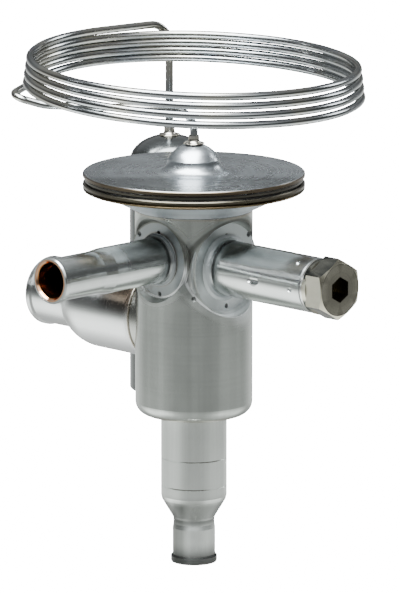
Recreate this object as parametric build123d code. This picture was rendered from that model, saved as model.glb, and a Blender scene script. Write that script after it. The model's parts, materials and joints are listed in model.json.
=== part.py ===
"""Angle-way thermostatic expansion valve with an external equalizer.

Frame: origin at the centre of the inlet mouth, +Z up along the valve axis, +X along the
adjusting stem, -X along the outlet and -Y along the equalizer.  Millimetres.
"""
from build123d import *
import math
import os

os.makedirs("parts", exist_ok=True)

# ---------------------------------------------------------------- driving dimensions
# Body shell: a drawn cup with three pressed round pads
BODY_RADIUS = 15.9
BODY_WALL = 1.5
BODY_BOTTOM = 41.2
BODY_TOP = 97.6
BODY_CORNER = 3.6
FLOOR_HOLE_RADIUS = 7.0

# Pads: height of the port axis, radius of the flat, distance of the flat from the axis
STEM_HEIGHT = 83.1
STEM_PAD_RADIUS = 12.0
STEM_PAD_REACH = 12.3
STEM_HOLE_RADIUS = 5.0
EQUALIZER_HEIGHT = 85.4
EQUALIZER_PAD_RADIUS = 10.4
EQUALIZER_PAD_REACH = 13.6
EQUALIZER_HOLE_RADIUS = 4.0
OUTLET_HEIGHT = 67.1
OUTLET_PAD_RADIUS = 12.95
OUTLET_PAD_RIM = 0.2
OUTLET_PAD_REACH = 12.4
OUTLET_HOLE_RADIUS = 7.6
PAD_RIM = 0.6
PAD_FLARE = 1.1
PAD_ROUND = 0.8

# Punch marks on the pads, beside the pads and round the stem housing
MARK_RADIUS = 0.9
MARK_DEPTH = 0.45
STEM_PAD_MARKS = ((0.1, 8.5), (0.2, -10.6), (8.6, 7.9), (8.0, -8.4))
EQUALIZER_PAD_MARKS = ((0.2, 7.2), (0.5, -9.4), (-7.2, 6.0), (-7.4, -6.2))
BODY_MARK_ANGLE = -45.0
BODY_MARK_HEIGHT = 75.8
STAKE_START = 27.4
STAKE_LENGTH = 4.5
STAKE_RADIUS = 1.2
STAKE_DEPTH = 0.7
HOUSING_MARKS = 6
HOUSING_MARK_PLACE = 43.3
HOUSING_MARK_ANGLE = 184.0

# Solder sockets: bores for 3/8 in and 5/8 in tube, lined with a copper sleeve
SMALL_BORE = 4.8
LARGE_BORE = 8.0
LINER_WALL = 0.4
SOCKET_WALL = 0.6
SOCKET_DEPTH = 9.8
LARGE_SOCKET_DEPTH = 11.5
LIP_RISE = 0.5
LIP_LENGTH = 1.7
LIP_ROUND = 0.4
MOUTH_CHAMFER = 0.5
STOP_STEP = 0.3

# Inlet tube below the body
INLET_TUBE_RADIUS = 8.95
INLET_TUBE_WALL = 1.0
INLET_NECK_RADIUS = 5.6
INLET_NECK_LENGTH = 2.6
INLET_TAPER_LENGTH = 6.2
INLET_SHOULDER_LENGTH = 2.1
INLET_SHOULDER_DROP = 0.85
INLET_NECK_BLEND = 0.3
INLET_GROOVES = (12.0, 19.7)
INLET_GROOVE_WIDTH = 0.3
INLET_GROOVE_DEPTH = 0.12

# Equalizer tube
EQUALIZER_MOUTH = 54.0
EQUALIZER_TUBE_RADIUS = 6.22
EQUALIZER_STEP_START = 34.5
EQUALIZER_STEP_LENGTH = 4.0
EQUALIZER_FOOT = 0.8
EQUALIZER_FOOT_LENGTH = 1.5

# Outlet cup and socket
OUTLET_MOUTH = 56.2
OUTLET_CUP_RADIUS = 12.6
OUTLET_CUP_END = 33.0
OUTLET_SHOULDER_RADIUS = 14.6
OUTLET_CUP_WALL = 1.0
OUTLET_COLLAR_RISE = 0.3
OUTLET_COLLAR_LENGTH = 1.1
OUTLET_COLLAR_SLOPE = 0.4
OUTLET_STOP_TAPER = 2.6

# Power element: lower cover, clamp ring and upper cover round a diaphragm
RIM_RADIUS = 30.0
COVER_THICKNESS = 1.3
LOWER_CONE_RISE = 6.1
LOWER_CONE_RADIUS = 28.3
CLAMP_RING_THICKNESS = 1.15
CLAMP_RING_INSET = 0.55
CLAMP_RING_WIDTH = 3.6
RIM_BEVEL = 0.3
DIAPHRAGM_THICKNESS = 0.25
DIAPHRAGM_INSET = 1.4
DIAPHRAGM_WAVES = 3
DIAPHRAGM_WAVE_HEIGHT = 0.22
DOME_FOOT_RADIUS = 10.6
DOME_SHOULDER_RADIUS = 7.0
DOME_SHOULDER_HEIGHT = 3.5
DOME_HEIGHT = 7.8
DOME_WALL = 1.1
DOME_WAIST = (0.68, 0.3)
DOME_SIDE = 0.72

# Capillary tube, its coil and the sensing bulb
CAPILLARY_RADIUS = 1.08
COIL_RADIUS = 43.9
COIL_SPREAD = 0.3
COIL_TOP = 138.0
COIL_PITCH = 2.36
COIL_TURNS = 4.1
COIL_CORNERS = 8
COIL_TILT_LEFT = 1.2
COIL_TILT_BACK = 1.25
COIL_TILT_GROWTH = 0.14
VIEW_AZIMUTH = 45.0
COIL_START_ANGLE = 122.1
BULB_RADIUS = 11.0
BULB_LENGTH = 71.5
BULB_BOTTOM = 37.6
BULB_DOME_HEIGHT = 7.5
BULB_EDGE = 0.9
BULB_DISTANCE = 48.05
STEM_BEND_TOP = 140.2
STEM_BEND_RADIUS = 6.0
HAIRPIN_RADIUS = 3.0
HAIRPIN_REACH = 49.5
HAIRPIN_OFFSET = 2.5
HAIRPIN_HEIGHT = 128.9
RETURN_REACH = 40.0
RETURN_HEIGHT = 126.2
ELEMENT_BEND_HEIGHT = 124.6
ELEMENT_BEND_RADIUS = 6.0
FERRULE_RISE = 2.1
FERRULE_TOP_WALL = 0.35
FERRULE_FOOT = 1.2
CAPILLARY_ENTRY = 1.6

# Adjusting stem, housing and cap
HOUSING_RADIUS = 7.5
HOUSING_BORE = 6.0
HOUSING_END = 47.0
HOUSING_FOOT = 1.5
HOUSING_EDGE = 0.4
STEM_SHAFT_RADIUS = 2.5
STEM_END = 43.5
STEM_SLOT_WIDTH = 1.2
STEM_SLOT_DEPTH = 2.0
GLAND_START = 14.0
GLAND_LENGTH = 12.0
STEM_COLLAR_RADIUS = 4.6
STEM_COLLAR_THICKNESS = 0.8
SEAL_SECTION = 1.0
SEAL_GROOVE_WIDTH = 1.4
SEAL_GROOVE_PLAY = 0.1
CLIP_THICKNESS = 1.0
CLIP_WIDTH = 1.5
CLIP_GAP = 2.4
GASKET_THICKNESS = 0.8
GASKET_INSET = 0.15
CAP_FLANGE_RADIUS = 7.6
CAP_FLANGE_LENGTH = 1.4
CAP_HEX = 14.6
CAP_HEX_LENGTH = 5.6
CAP_CHAMFER = 0.7
CAP_KEY = 6.15
CAP_KEY_DEPTH = 4.8
CAP_SKIRT_LENGTH = 6.5
CAP_SKIRT_WALL = 1.3

# Superheat mechanism
RUNNING = 0.05
SEATING = 0.03
PINION_TEETH = 10
CROWN_TEETH = 20
GEAR_MODULE = 0.7
GEAR_FACE = 1.8
GEAR_TOOTH_SHARE = 0.40
TOOTH_FOOT = 1.35
PINION_TIP = 0.42
CROWN_TIP = 0.55
CROWN_TOOTH_OVERRUN = 0.3
CROWN_EDGE = 0.6
CROWN_SEAT_RISE = 0.6
CROWN_THICKNESS = 1.5
CROWN_HUB_RADIUS = 5.0
CROWN_HUB_LENGTH = 4.0
TOWER_RADIUS = 4.4
TOWER_NECK_RADIUS = 3.0
TOWER_FLAT = 2.4
TOWER_TOP = 97.0
GUIDE_BOTTOM = 76.1
GUIDE_THICKNESS = 2.6
CARRIER_SKIRT_WALL = 1.35
CARRIER_FLANGE_RADIUS = 9.4
CARRIER_FLANGE_THICKNESS = 1.0
CARRIER_TRAVEL = 1.2
CARRIER_LID = 1.2
CARRIER_PLAY = 0.3
SPRING_RADIUS = 7.9
SPRING_WIRE_RADIUS = 0.62
SPRING_TURNS = 4.5
SPRING_CORNERS = 6
PUSH_ROD_RADIUS = 1.25
THRUST_PAD_RADIUS = 12.0
THRUST_PAD_THICKNESS = 1.6
THRUST_HUB_RADIUS = 2.6
THRUST_HUB_LENGTH = 2.2
THRUST_EDGE = 0.5
ROD_POCKET = 0.4
ROD_TAIL = 0.6
ROD_SEAL_RADIUS = 2.9
ROD_SEAL_HEIGHT = 1.4
SEAL_CUP_THICKNESS = 0.55
SEAL_CUP_ROOM = 0.6
SEAL_CUP_PLAY = 0.2
SEAT_BOTTOM = 46.0
SEAT_THICKNESS = 6.0
ORIFICE_RADIUS = 2.3
ORIFICE_EDGE = 0.6
ORIFICE_RING_RADIUS = 4.6
ORIFICE_RING_LENGTH = 3.2
CONE_RADIUS = 3.6
CONE_LENGTH = 2.6
CONE_TIP = 0.25
CONE_EDGE = 0.3
VALVE_TRAVEL = 0.8
STRAINER_RADIUS = 6.6
STRAINER_LENGTH = 16.0
STRAINER_WALL = 0.5
STRAINER_FLANGE = 0.9
STRAINER_TAPER = 1.0
STRAINER_RING_HEIGHT = 1.6
STRAINER_RING_PLAY = 0.15

# ---------------------------------------------------------------- shared places
INLET = Plane(origin=(0, 0, BODY_BOTTOM), x_dir=(1, 0, 0), z_dir=(0, 0, -1))
STEM = Plane(origin=(0, 0, STEM_HEIGHT), x_dir=(0, 1, 0), z_dir=(1, 0, 0))
EQUALIZER = Plane(origin=(0, 0, EQUALIZER_HEIGHT), x_dir=(1, 0, 0), z_dir=(0, -1, 0))
OUTLET = Plane(origin=(0, 0, OUTLET_HEIGHT), x_dir=(0, 1, 0), z_dir=(-1, 0, 0))
PADS = (
    (STEM, STEM_PAD_RADIUS, PAD_RIM, STEM_PAD_REACH),
    (EQUALIZER, EQUALIZER_PAD_RADIUS, PAD_RIM, EQUALIZER_PAD_REACH),
    (OUTLET, OUTLET_PAD_RADIUS, OUTLET_PAD_RIM, OUTLET_PAD_REACH),
)
RIM_BOTTOM = BODY_TOP + LOWER_CONE_RISE
DIAPHRAGM_BOTTOM = RIM_BOTTOM + COVER_THICKNESS
RING_BOTTOM = DIAPHRAGM_BOTTOM + DIAPHRAGM_THICKNESS
PLATE_BOTTOM = RING_BOTTOM + CLAMP_RING_THICKNESS
PLATE_TOP = PLATE_BOTTOM + COVER_THICKNESS
DOME_TOP = PLATE_TOP + DOME_HEIGHT
BULB_TOP = BULB_BOTTOM + BULB_LENGTH
BULB_ANGLE = VIEW_AZIMUTH + COIL_START_ANGLE - math.degrees(math.acos(COIL_RADIUS / BULB_DISTANCE))
BULB_X = BULB_DISTANCE * math.cos(math.radians(BULB_ANGLE))
BULB_Y = BULB_DISTANCE * math.sin(math.radians(BULB_ANGLE))
PINION_RADIUS = GEAR_MODULE * PINION_TEETH / 2
CROWN_RADIUS = GEAR_MODULE * CROWN_TEETH / 2
ADDENDUM = 0.9 * GEAR_MODULE
DEDENDUM = 1.1 * GEAR_MODULE
MESH_HEIGHT = STEM_HEIGHT + PINION_RADIUS
CROWN_BOTTOM = MESH_HEIGHT + DEDENDUM
CROWN_SEAT = CROWN_BOTTOM + CROWN_SEAT_RISE
HUB_TOP = CROWN_BOTTOM + CROWN_THICKNESS + CROWN_HUB_LENGTH
FLANGE_BOTTOM = CROWN_BOTTOM + CROWN_THICKNESS + CARRIER_TRAVEL + CARRIER_PLAY
SPRING_BOTTOM = FLANGE_BOTTOM + CARRIER_FLANGE_THICKNESS
LID_BOTTOM = HUB_TOP + CARRIER_TRAVEL + CARRIER_PLAY
THRUST_TOP = DIAPHRAGM_BOTTOM - SEATING
SPRING_TOP = THRUST_TOP - THRUST_PAD_THICKNESS
GUIDE_TOP = GUIDE_BOTTOM + GUIDE_THICKNESS
GASKET_END = HOUSING_END + GASKET_THICKNESS


# ---------------------------------------------------------------- helpers
def turned(*outline):
    """Solid of revolution about local Z from (radius, height) points."""
    return revolve(Plane.XZ * make_face(Polyline(*outline, close=True)), Axis.Z)


def disc(radius, bottom, top):
    """Plain cylinder on local Z between two heights."""
    return Pos(0, 0, (bottom + top) / 2) * Cylinder(radius, top - bottom)


def tube(outer, inner, bottom, top):
    """Plain sleeve on local Z between two heights."""
    return turned((inner, bottom), (outer, bottom), (outer, top), (inner, top))


def o_ring(mean_radius, section, height):
    """Seal ring of round section lying across local Z."""
    return Pos(0, 0, height) * Torus(mean_radius, section / 2)


def mark(radius=MARK_RADIUS, depth=MARK_DEPTH):
    """Ball that leaves a round mark of this depth in the face at local Z = 0."""
    return Pos(0, 0, radius - depth) * Sphere(radius)


def save(shape, name):
    """Write one sub-part under its node name."""
    shape.label = name
    export_step(shape, f"parts/{name}.step")


# ---------------------------------------------------------------- body shell
def pad_plug(outer, reach):
    """Round boss behind a pad, with its front edge rounded."""
    profile = [
        Line((0, 0), (outer, 0)),
        Line((outer, 0), (outer, reach - PAD_ROUND)),
        RadiusArc((outer, reach - PAD_ROUND), (outer - PAD_ROUND, reach), PAD_ROUND),
        Line((outer - PAD_ROUND, reach), (0, reach)),
        Line((0, reach), (0, 0)),
    ]
    return revolve(Plane.XZ * make_face(profile), Axis.Z)


def pad_recess(radius, reach):
    """Flared pocket in front of a pad, out past the body's wall."""
    outside = 2 * BODY_RADIUS
    flared = radius + PAD_FLARE
    slope_end = reach + 2 * PAD_FLARE
    return turned((0, reach), (radius, reach), (flared, slope_end), (flared, outside), (0, outside))


def body_form(inset, top):
    """The body's outer form, moved inwards everywhere by inset."""
    radius = BODY_RADIUS - inset
    floor = BODY_BOTTOM + inset
    corner = max(BODY_CORNER - inset, 1.0)
    profile = [
        Line((0, floor), (radius - corner, floor)),
        RadiusArc((radius - corner, floor), (radius, floor + corner), -corner),
        Line((radius, floor + corner), (radius, top)),
        Line((radius, top), (0, top)),
        Line((0, top), (0, floor)),
    ]
    form = revolve(Plane.XZ * make_face(profile), Axis.Z)
    for plane, pad_radius, rim, reach in PADS:
        form += plane * pad_plug(pad_radius + rim - inset, reach - inset)
    for plane, pad_radius, rim, reach in PADS:
        form -= plane * pad_recess(pad_radius + inset, reach - inset)
    return form


def valve_body():
    shell = body_form(0, BODY_TOP) - body_form(BODY_WALL, BODY_TOP + BODY_WALL)
    shell -= disc(FLOOR_HOLE_RADIUS, BODY_BOTTOM - 1, BODY_BOTTOM + 2 * BODY_WALL)
    shell -= STEM * disc(STEM_HOLE_RADIUS, 0, BODY_RADIUS)
    shell -= EQUALIZER * disc(EQUALIZER_HOLE_RADIUS, 0, BODY_RADIUS)
    shell -= OUTLET * disc(OUTLET_HOLE_RADIUS, 0, BODY_RADIUS)
    for x, y in STEM_PAD_MARKS:
        shell -= STEM * Pos(x, y, STEM_PAD_REACH) * mark()
    for x, y in EQUALIZER_PAD_MARKS:
        shell -= EQUALIZER * Pos(x, y, EQUALIZER_PAD_REACH) * mark()
    beside = Pos(BODY_RADIUS, 0, BODY_MARK_HEIGHT) * Rot(0, 90, 0)
    return shell - Rot(0, 0, BODY_MARK_ANGLE) * beside * mark()


# ---------------------------------------------------------------- connectors
def socket_outline(bore, mouth, depth):
    """Inner edge of a steel socket, from its stop out to the mouth."""
    seat = bore + LINER_WALL + SEATING
    stop = mouth - depth - SEATING
    return [
        (bore - STOP_STEP, stop),
        (seat, stop),
        (seat, mouth - MOUTH_CHAMFER),
        (seat + MOUTH_CHAMFER, mouth),
    ]


def lip_outline(bore, mouth):
    """Outer edge of a steel socket, from its rolled lip back to the plain tube."""
    outer = bore + LINER_WALL + SOCKET_WALL
    lip = outer + LIP_RISE
    return [
        (lip - LIP_ROUND / 2, mouth),
        (lip, mouth - LIP_ROUND),
        (lip, mouth - LIP_LENGTH),
        (outer, mouth - LIP_LENGTH - LIP_RISE),
    ]


def liner(plane, bore, mouth, depth):
    """Copper sleeve pressed into a socket, opened at the mouth."""
    outer = bore + LINER_WALL
    return plane * turned(
        (bore, mouth - depth),
        (outer, mouth - depth),
        (outer, mouth - MOUTH_CHAMFER),
        (outer + MOUTH_CHAMFER, mouth),
        (bore + MOUTH_CHAMFER, mouth),
        (bore, mouth - MOUTH_CHAMFER),
    )


def inlet_connector():
    """Wide tube under the body, necked down to the inlet socket."""
    mouth = BODY_BOTTOM
    socket = SMALL_BORE + LINER_WALL + SOCKET_WALL
    stop = mouth - SOCKET_DEPTH - SEATING
    neck = stop - INLET_NECK_LENGTH
    shoulder = neck - INLET_TAPER_LENGTH
    inside = INLET_TUBE_RADIUS - INLET_TUBE_WALL
    drop = INLET_SHOULDER_DROP
    round_end = shoulder + INLET_SHOULDER_LENGTH
    blend = INLET_NECK_BLEND
    connector = turned(
        (inside, 0),
        (INLET_TUBE_RADIUS, 0),
        (INLET_TUBE_RADIUS, shoulder),
        (INLET_TUBE_RADIUS - 0.3 * drop, shoulder + INLET_SHOULDER_LENGTH / 2),
        (INLET_TUBE_RADIUS - drop, round_end),
        (INLET_NECK_RADIUS + 0.7 * blend, neck - blend),
        (INLET_NECK_RADIUS, neck + blend),
        (INLET_NECK_RADIUS, stop - 3 * blend),
        (socket, stop + blend),
        *reversed(lip_outline(SMALL_BORE, mouth)),
        *reversed(socket_outline(SMALL_BORE, mouth, SOCKET_DEPTH)),
        (SMALL_BORE - STOP_STEP, neck),
        (inside - drop, round_end),
        (inside, shoulder),
    )
    for place in INLET_GROOVES:
        start = place - INLET_GROOVE_WIDTH / 2
        floor = INLET_TUBE_RADIUS - INLET_GROOVE_DEPTH
        connector -= tube(2 * INLET_TUBE_RADIUS, floor, start, start + INLET_GROOVE_WIDTH)
    return INLET * connector


def equalizer_connector():
    """Straight tube from the pad, stepped down to its socket."""
    foot = EQUALIZER_PAD_REACH
    socket = SMALL_BORE + LINER_WALL + SOCKET_WALL
    step_end = EQUALIZER_STEP_START + EQUALIZER_STEP_LENGTH
    inside = SMALL_BORE - STOP_STEP
    return EQUALIZER * turned(
        (inside, foot),
        (EQUALIZER_TUBE_RADIUS + EQUALIZER_FOOT, foot),
        (EQUALIZER_TUBE_RADIUS + EQUALIZER_FOOT, foot + 0.3 * EQUALIZER_FOOT_LENGTH),
        (EQUALIZER_TUBE_RADIUS + 0.3 * EQUALIZER_FOOT, foot + 0.6 * EQUALIZER_FOOT_LENGTH),
        (EQUALIZER_TUBE_RADIUS, foot + EQUALIZER_FOOT_LENGTH),
        (EQUALIZER_TUBE_RADIUS, EQUALIZER_STEP_START),
        (socket, step_end),
        *reversed(lip_outline(SMALL_BORE, EQUALIZER_MOUTH)),
        *reversed(socket_outline(SMALL_BORE, EQUALIZER_MOUTH, SOCKET_DEPTH)),
    )


def outlet_connector():
    """Wide cup on the body with a rounded shoulder, drawn down to the outlet socket."""
    foot = OUTLET_PAD_REACH
    socket = LARGE_BORE + LINER_WALL + SOCKET_WALL
    drop = OUTLET_CUP_RADIUS - socket
    run = math.sqrt(OUTLET_SHOULDER_RADIUS**2 - (OUTLET_SHOULDER_RADIUS - drop) ** 2)
    shoulder_end = OUTLET_CUP_END + run
    collar = OUTLET_CUP_RADIUS + OUTLET_COLLAR_RISE
    cup_inside = OUTLET_CUP_RADIUS - OUTLET_CUP_WALL
    bore = LARGE_BORE - STOP_STEP
    stop = OUTLET_MOUTH - LARGE_SOCKET_DEPTH - SEATING
    outer_points = [
        (cup_inside, foot),
        (collar, foot),
        (collar, foot + OUTLET_COLLAR_LENGTH),
        (OUTLET_CUP_RADIUS, foot + OUTLET_COLLAR_LENGTH + OUTLET_COLLAR_SLOPE),
        (OUTLET_CUP_RADIUS, OUTLET_CUP_END),
    ]
    rest_points = [
        (socket, shoulder_end),
        *reversed(lip_outline(LARGE_BORE, OUTLET_MOUTH)),
        *reversed(socket_outline(LARGE_BORE, OUTLET_MOUTH, LARGE_SOCKET_DEPTH)),
        (bore, stop - OUTLET_STOP_TAPER),
        (cup_inside, OUTLET_CUP_END - OUTLET_CUP_WALL / 2),
        (cup_inside, foot),
    ]
    outline = [
        Polyline(*outer_points),
        RadiusArc(outer_points[-1], rest_points[0], -OUTLET_SHOULDER_RADIUS),
        Polyline(*rest_points),
    ]
    return OUTLET * revolve(Plane.XZ * make_face(outline), Axis.Z)


# ---------------------------------------------------------------- power element
def lower_cover():
    """Cone from the body's top edge out to the rim flange."""
    inside = BODY_RADIUS - BODY_WALL
    return turned(
        (inside, BODY_TOP),
        (BODY_RADIUS, BODY_TOP),
        (LOWER_CONE_RADIUS, RIM_BOTTOM),
        (RIM_RADIUS - RIM_BEVEL, RIM_BOTTOM),
        (RIM_RADIUS, RIM_BOTTOM + RIM_BEVEL),
        (RIM_RADIUS, DIAPHRAGM_BOTTOM - RIM_BEVEL),
        (RIM_RADIUS - RIM_BEVEL, DIAPHRAGM_BOTTOM),
        (LOWER_CONE_RADIUS - 3.0, DIAPHRAGM_BOTTOM),
        (inside, BODY_TOP + COVER_THICKNESS),
    )


def clamp_ring():
    outer = RIM_RADIUS - CLAMP_RING_INSET
    return turned(
        (outer - CLAMP_RING_WIDTH, RING_BOTTOM),
        (outer - RIM_BEVEL, RING_BOTTOM),
        (outer, RING_BOTTOM + RIM_BEVEL),
        (outer, PLATE_BOTTOM - RIM_BEVEL),
        (outer - RIM_BEVEL, PLATE_BOTTOM),
        (outer - CLAMP_RING_WIDTH, PLATE_BOTTOM),
    )


def dome_edge(inset):
    """Flared foot and rounded crown of the dome, moved inwards by inset."""
    top = PLATE_TOP + DOME_HEIGHT - inset
    shoulder = (DOME_SHOULDER_RADIUS - inset, PLATE_TOP + DOME_SHOULDER_HEIGHT - 0.5 * inset)
    foot = (DOME_FOOT_RADIUS - 0.5 * inset, PLATE_TOP - inset)
    waist = (
        foot[0] - DOME_WAIST[0] * (foot[0] - shoulder[0]),
        foot[1] + DOME_WAIST[1] * (shoulder[1] - foot[1]),
    )
    rise = top - shoulder[1]
    crown = (shoulder[0] ** 2 + rise**2) / (2 * rise)
    out = DOME_SIDE * shoulder[0]
    side = (out, top - crown + math.sqrt(crown**2 - out**2))
    return foot, waist, shoulder, side, (0, top)


def dome_solid(inset, floor):
    """Solid dome down to floor."""
    foot, waist, shoulder, side, top = dome_edge(inset)
    outline = [
        Line((0, floor), (foot[0], floor)),
        Line((foot[0], floor), foot),
        ThreePointArc(foot, waist, shoulder),
        ThreePointArc(shoulder, side, top),
        Line(top, (0, floor)),
    ]
    return revolve(Plane.XZ * make_face(outline), Axis.Z)


def upper_cover():
    """Flat plate with a bevelled edge and a hollow dome in the middle."""
    plate = turned(
        (0, PLATE_BOTTOM),
        (RIM_RADIUS - RIM_BEVEL, PLATE_BOTTOM),
        (RIM_RADIUS, PLATE_BOTTOM + RIM_BEVEL),
        (RIM_RADIUS, PLATE_TOP - RIM_BEVEL),
        (RIM_RADIUS - RIM_BEVEL, PLATE_TOP),
        (0, PLATE_TOP),
    )
    cover = plate + dome_solid(0, PLATE_TOP - DOME_WALL / 2)
    cover -= dome_solid(DOME_WALL, PLATE_BOTTOM - DOME_WALL)
    return cover - disc(CAPILLARY_RADIUS + SEATING, PLATE_TOP, DOME_TOP + 1)


def diaphragm():
    """Thin disc with shallow rings pressed into it, clamped at its edge."""
    clamped = RIM_RADIUS - CLAMP_RING_INSET - CLAMP_RING_WIDTH
    edge = RIM_RADIUS - DIAPHRAGM_INSET
    inner = THRUST_PAD_RADIUS + 1.0
    step = (clamped - 1.0 - inner) / (2 * DIAPHRAGM_WAVES)
    crests = [
        (inner + i * step, DIAPHRAGM_BOTTOM + DIAPHRAGM_WAVE_HEIGHT * (i % 2))
        for i in range(2 * DIAPHRAGM_WAVES + 1)
    ]
    under = [(0, DIAPHRAGM_BOTTOM), *crests, (edge, DIAPHRAGM_BOTTOM)]
    over = [(r, z + DIAPHRAGM_THICKNESS) for r, z in reversed(under)]
    return turned(*under, *over)


# ---------------------------------------------------------------- capillary and bulb
def view_point(across, away, height):
    """Place given from the side that the coil's hairpin faces: across to the right, away behind."""
    turn = math.radians(VIEW_AZIMUTH)
    x = across * math.cos(turn) - away * math.sin(turn)
    y = across * math.sin(turn) + away * math.cos(turn)
    return (x, y, height)


def coil_height(angle):
    """Height of the wound tube at an angle in degrees, counted from the left side."""
    turns = (angle - 180.0) / 360.0
    tilt = COIL_TILT_GROWTH * turns
    left = math.cos(math.radians(angle - 180.0))
    back = math.cos(math.radians(angle - 90.0))
    return COIL_TOP - COIL_PITCH * turns + (COIL_TILT_LEFT + tilt) * left + (COIL_TILT_BACK + tilt) * back


def capillary_tube():
    """Fine tube from the bulb, over into four turns, round a hairpin and down to the dome."""
    corner_count = round(COIL_TURNS * COIL_CORNERS)
    step = 360.0 * COIL_TURNS / corner_count
    stretch = 1 / math.cos(math.radians(step / 2))
    points = [(BULB_X, BULB_Y, BULB_TOP - CAPILLARY_ENTRY), (BULB_X, BULB_Y, STEM_BEND_TOP)]
    radii = [STEM_BEND_RADIUS]
    for i in range(corner_count):
        angle = COIL_START_ANGLE + (i + 0.5) * step
        radius = COIL_RADIUS + COIL_SPREAD * (angle - 180.0) / 360.0
        across = stretch * radius * math.cos(math.radians(angle))
        away = stretch * radius * math.sin(math.radians(angle))
        points.append(view_point(across, away, coil_height(angle)))
        radii.append(0.96 * radius)
    points.append(view_point(-HAIRPIN_REACH, -HAIRPIN_OFFSET, HAIRPIN_HEIGHT))
    points.append(view_point(-RETURN_REACH, -HAIRPIN_OFFSET, RETURN_HEIGHT))
    points.append((0, 0, ELEMENT_BEND_HEIGHT))
    points.append((0, 0, DOME_TOP - CAPILLARY_ENTRY))
    radii += [HAIRPIN_RADIUS, 5 * HAIRPIN_RADIUS, ELEMENT_BEND_RADIUS]
    path = FilletPolyline(*points, radius=radii)
    section = Plane(origin=points[0], z_dir=(0, 0, 1)) * Circle(CAPILLARY_RADIUS)
    wire = sweep(section, path=path)
    print(f"capillary length {path.length:.1f}, volume ratio {wire.volume / (section.area * path.length):.5f}")
    return wire


def ferrule(foot_height):
    """Brazed collar round the capillary, flared at its foot."""
    inside = CAPILLARY_RADIUS + SEATING
    outside = inside + FERRULE_TOP_WALL
    foot = (outside + FERRULE_FOOT, foot_height)
    waist = (outside, foot_height + FERRULE_FOOT)
    top = foot_height + FERRULE_RISE
    outline = [
        Line((inside, foot_height), foot),
        RadiusArc(foot, waist, FERRULE_FOOT),
        Polyline(waist, (outside, top), (inside, top), (inside, foot_height)),
    ]
    return revolve(Plane.XZ * make_face(outline), Axis.Z)


def sensing_bulb():
    """Closed cylinder with a flattened dome, bored for the capillary's end."""
    shoulder = BULB_LENGTH - BULB_DOME_HEIGHT
    dome = EllipticalCenterArc((0, shoulder), BULB_RADIUS, BULB_DOME_HEIGHT, start_angle=0, arc_size=90)
    outline = [
        Line((0, 0), (BULB_RADIUS - BULB_EDGE, 0)),
        RadiusArc((BULB_RADIUS - BULB_EDGE, 0), (BULB_RADIUS, BULB_EDGE), -BULB_EDGE),
        Line((BULB_RADIUS, BULB_EDGE), (BULB_RADIUS, shoulder)),
        dome,
        Line((0, BULB_LENGTH), (0, 0)),
    ]
    bulb = revolve(Plane.XZ * make_face(outline), Axis.Z)
    bulb -= disc(CAPILLARY_RADIUS + SEATING, BULB_LENGTH - CAPILLARY_ENTRY, BULB_LENGTH + 1)
    return Pos(BULB_X, BULB_Y, BULB_BOTTOM) * bulb


# ---------------------------------------------------------------- stem, housing and cap
def stem_housing():
    """Tube that holds the stem's gland, staked outside the gland and marked near its end."""
    foot = STEM_PAD_REACH
    housing = turned(
        (HOUSING_BORE, foot),
        (HOUSING_RADIUS + HOUSING_FOOT, foot),
        (HOUSING_RADIUS + 0.5 * HOUSING_FOOT, foot + 0.25 * HOUSING_FOOT),
        (HOUSING_RADIUS + 0.15 * HOUSING_FOOT, foot + 0.65 * HOUSING_FOOT),
        (HOUSING_RADIUS, foot + 1.2 * HOUSING_FOOT),
        (HOUSING_RADIUS, HOUSING_END - HOUSING_EDGE),
        (HOUSING_RADIUS - HOUSING_EDGE, HOUSING_END),
        (HOUSING_BORE, HOUSING_END),
    )
    out = HOUSING_RADIUS + STAKE_RADIUS - STAKE_DEPTH
    first = STAKE_START + STAKE_RADIUS
    last = STAKE_START + STAKE_LENGTH - STAKE_RADIUS
    stake = disc(STAKE_RADIUS, first, last)
    for place in (first, last):
        stake += Pos(0, 0, place) * Sphere(STAKE_RADIUS)
    housing -= Pos(-out, 0, 0) * stake
    for i in range(HOUSING_MARKS):
        turn = Rot(0, 0, HOUSING_MARK_ANGLE + i * 360.0 / HOUSING_MARKS)
        housing -= turn * Pos(HOUSING_RADIUS, 0, HOUSING_MARK_PLACE) * Rot(0, 90, 0) * mark()
    return STEM * housing


def pinion_outline():
    """Straight-sided pinion teeth."""
    pitch = 2 * math.pi / PINION_TEETH
    tip = PINION_RADIUS + ADDENDUM
    root = PINION_RADIUS - DEDENDUM
    half = GEAR_TOOTH_SHARE * pitch / 2
    corners = ((root, -TOOTH_FOOT), (tip, -PINION_TIP), (tip, PINION_TIP), (root, TOOTH_FOOT))
    points = []
    for i in range(PINION_TEETH):
        middle = math.pi / 2 + i * pitch
        for radius, share in corners:
            angle = middle + share * half
            points.append((radius * math.cos(angle), radius * math.sin(angle)))
    return points


def adjusting_stem():
    """Shaft with a pinion at its inner end and a driver slot at its outer end."""
    start = CROWN_RADIUS - GEAR_FACE / 2
    end = CROWN_RADIUS + GEAR_FACE / 2
    pinion_face = Pos(0, 0, start) * make_face(Polyline(*pinion_outline(), close=True))
    pinion = extrude(pinion_face, amount=GEAR_FACE)
    shaft = disc(STEM_SHAFT_RADIUS, end - SEATING, STEM_END)
    collar_end = GLAND_START - 4 * RUNNING
    collar = disc(STEM_COLLAR_RADIUS, collar_end - STEM_COLLAR_THICKNESS, collar_end)
    slot = Pos(0, 0, STEM_END) * Box(2 * BODY_RADIUS, STEM_SLOT_WIDTH, 2 * STEM_SLOT_DEPTH)
    return STEM * (pinion + shaft + collar - slot)


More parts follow.
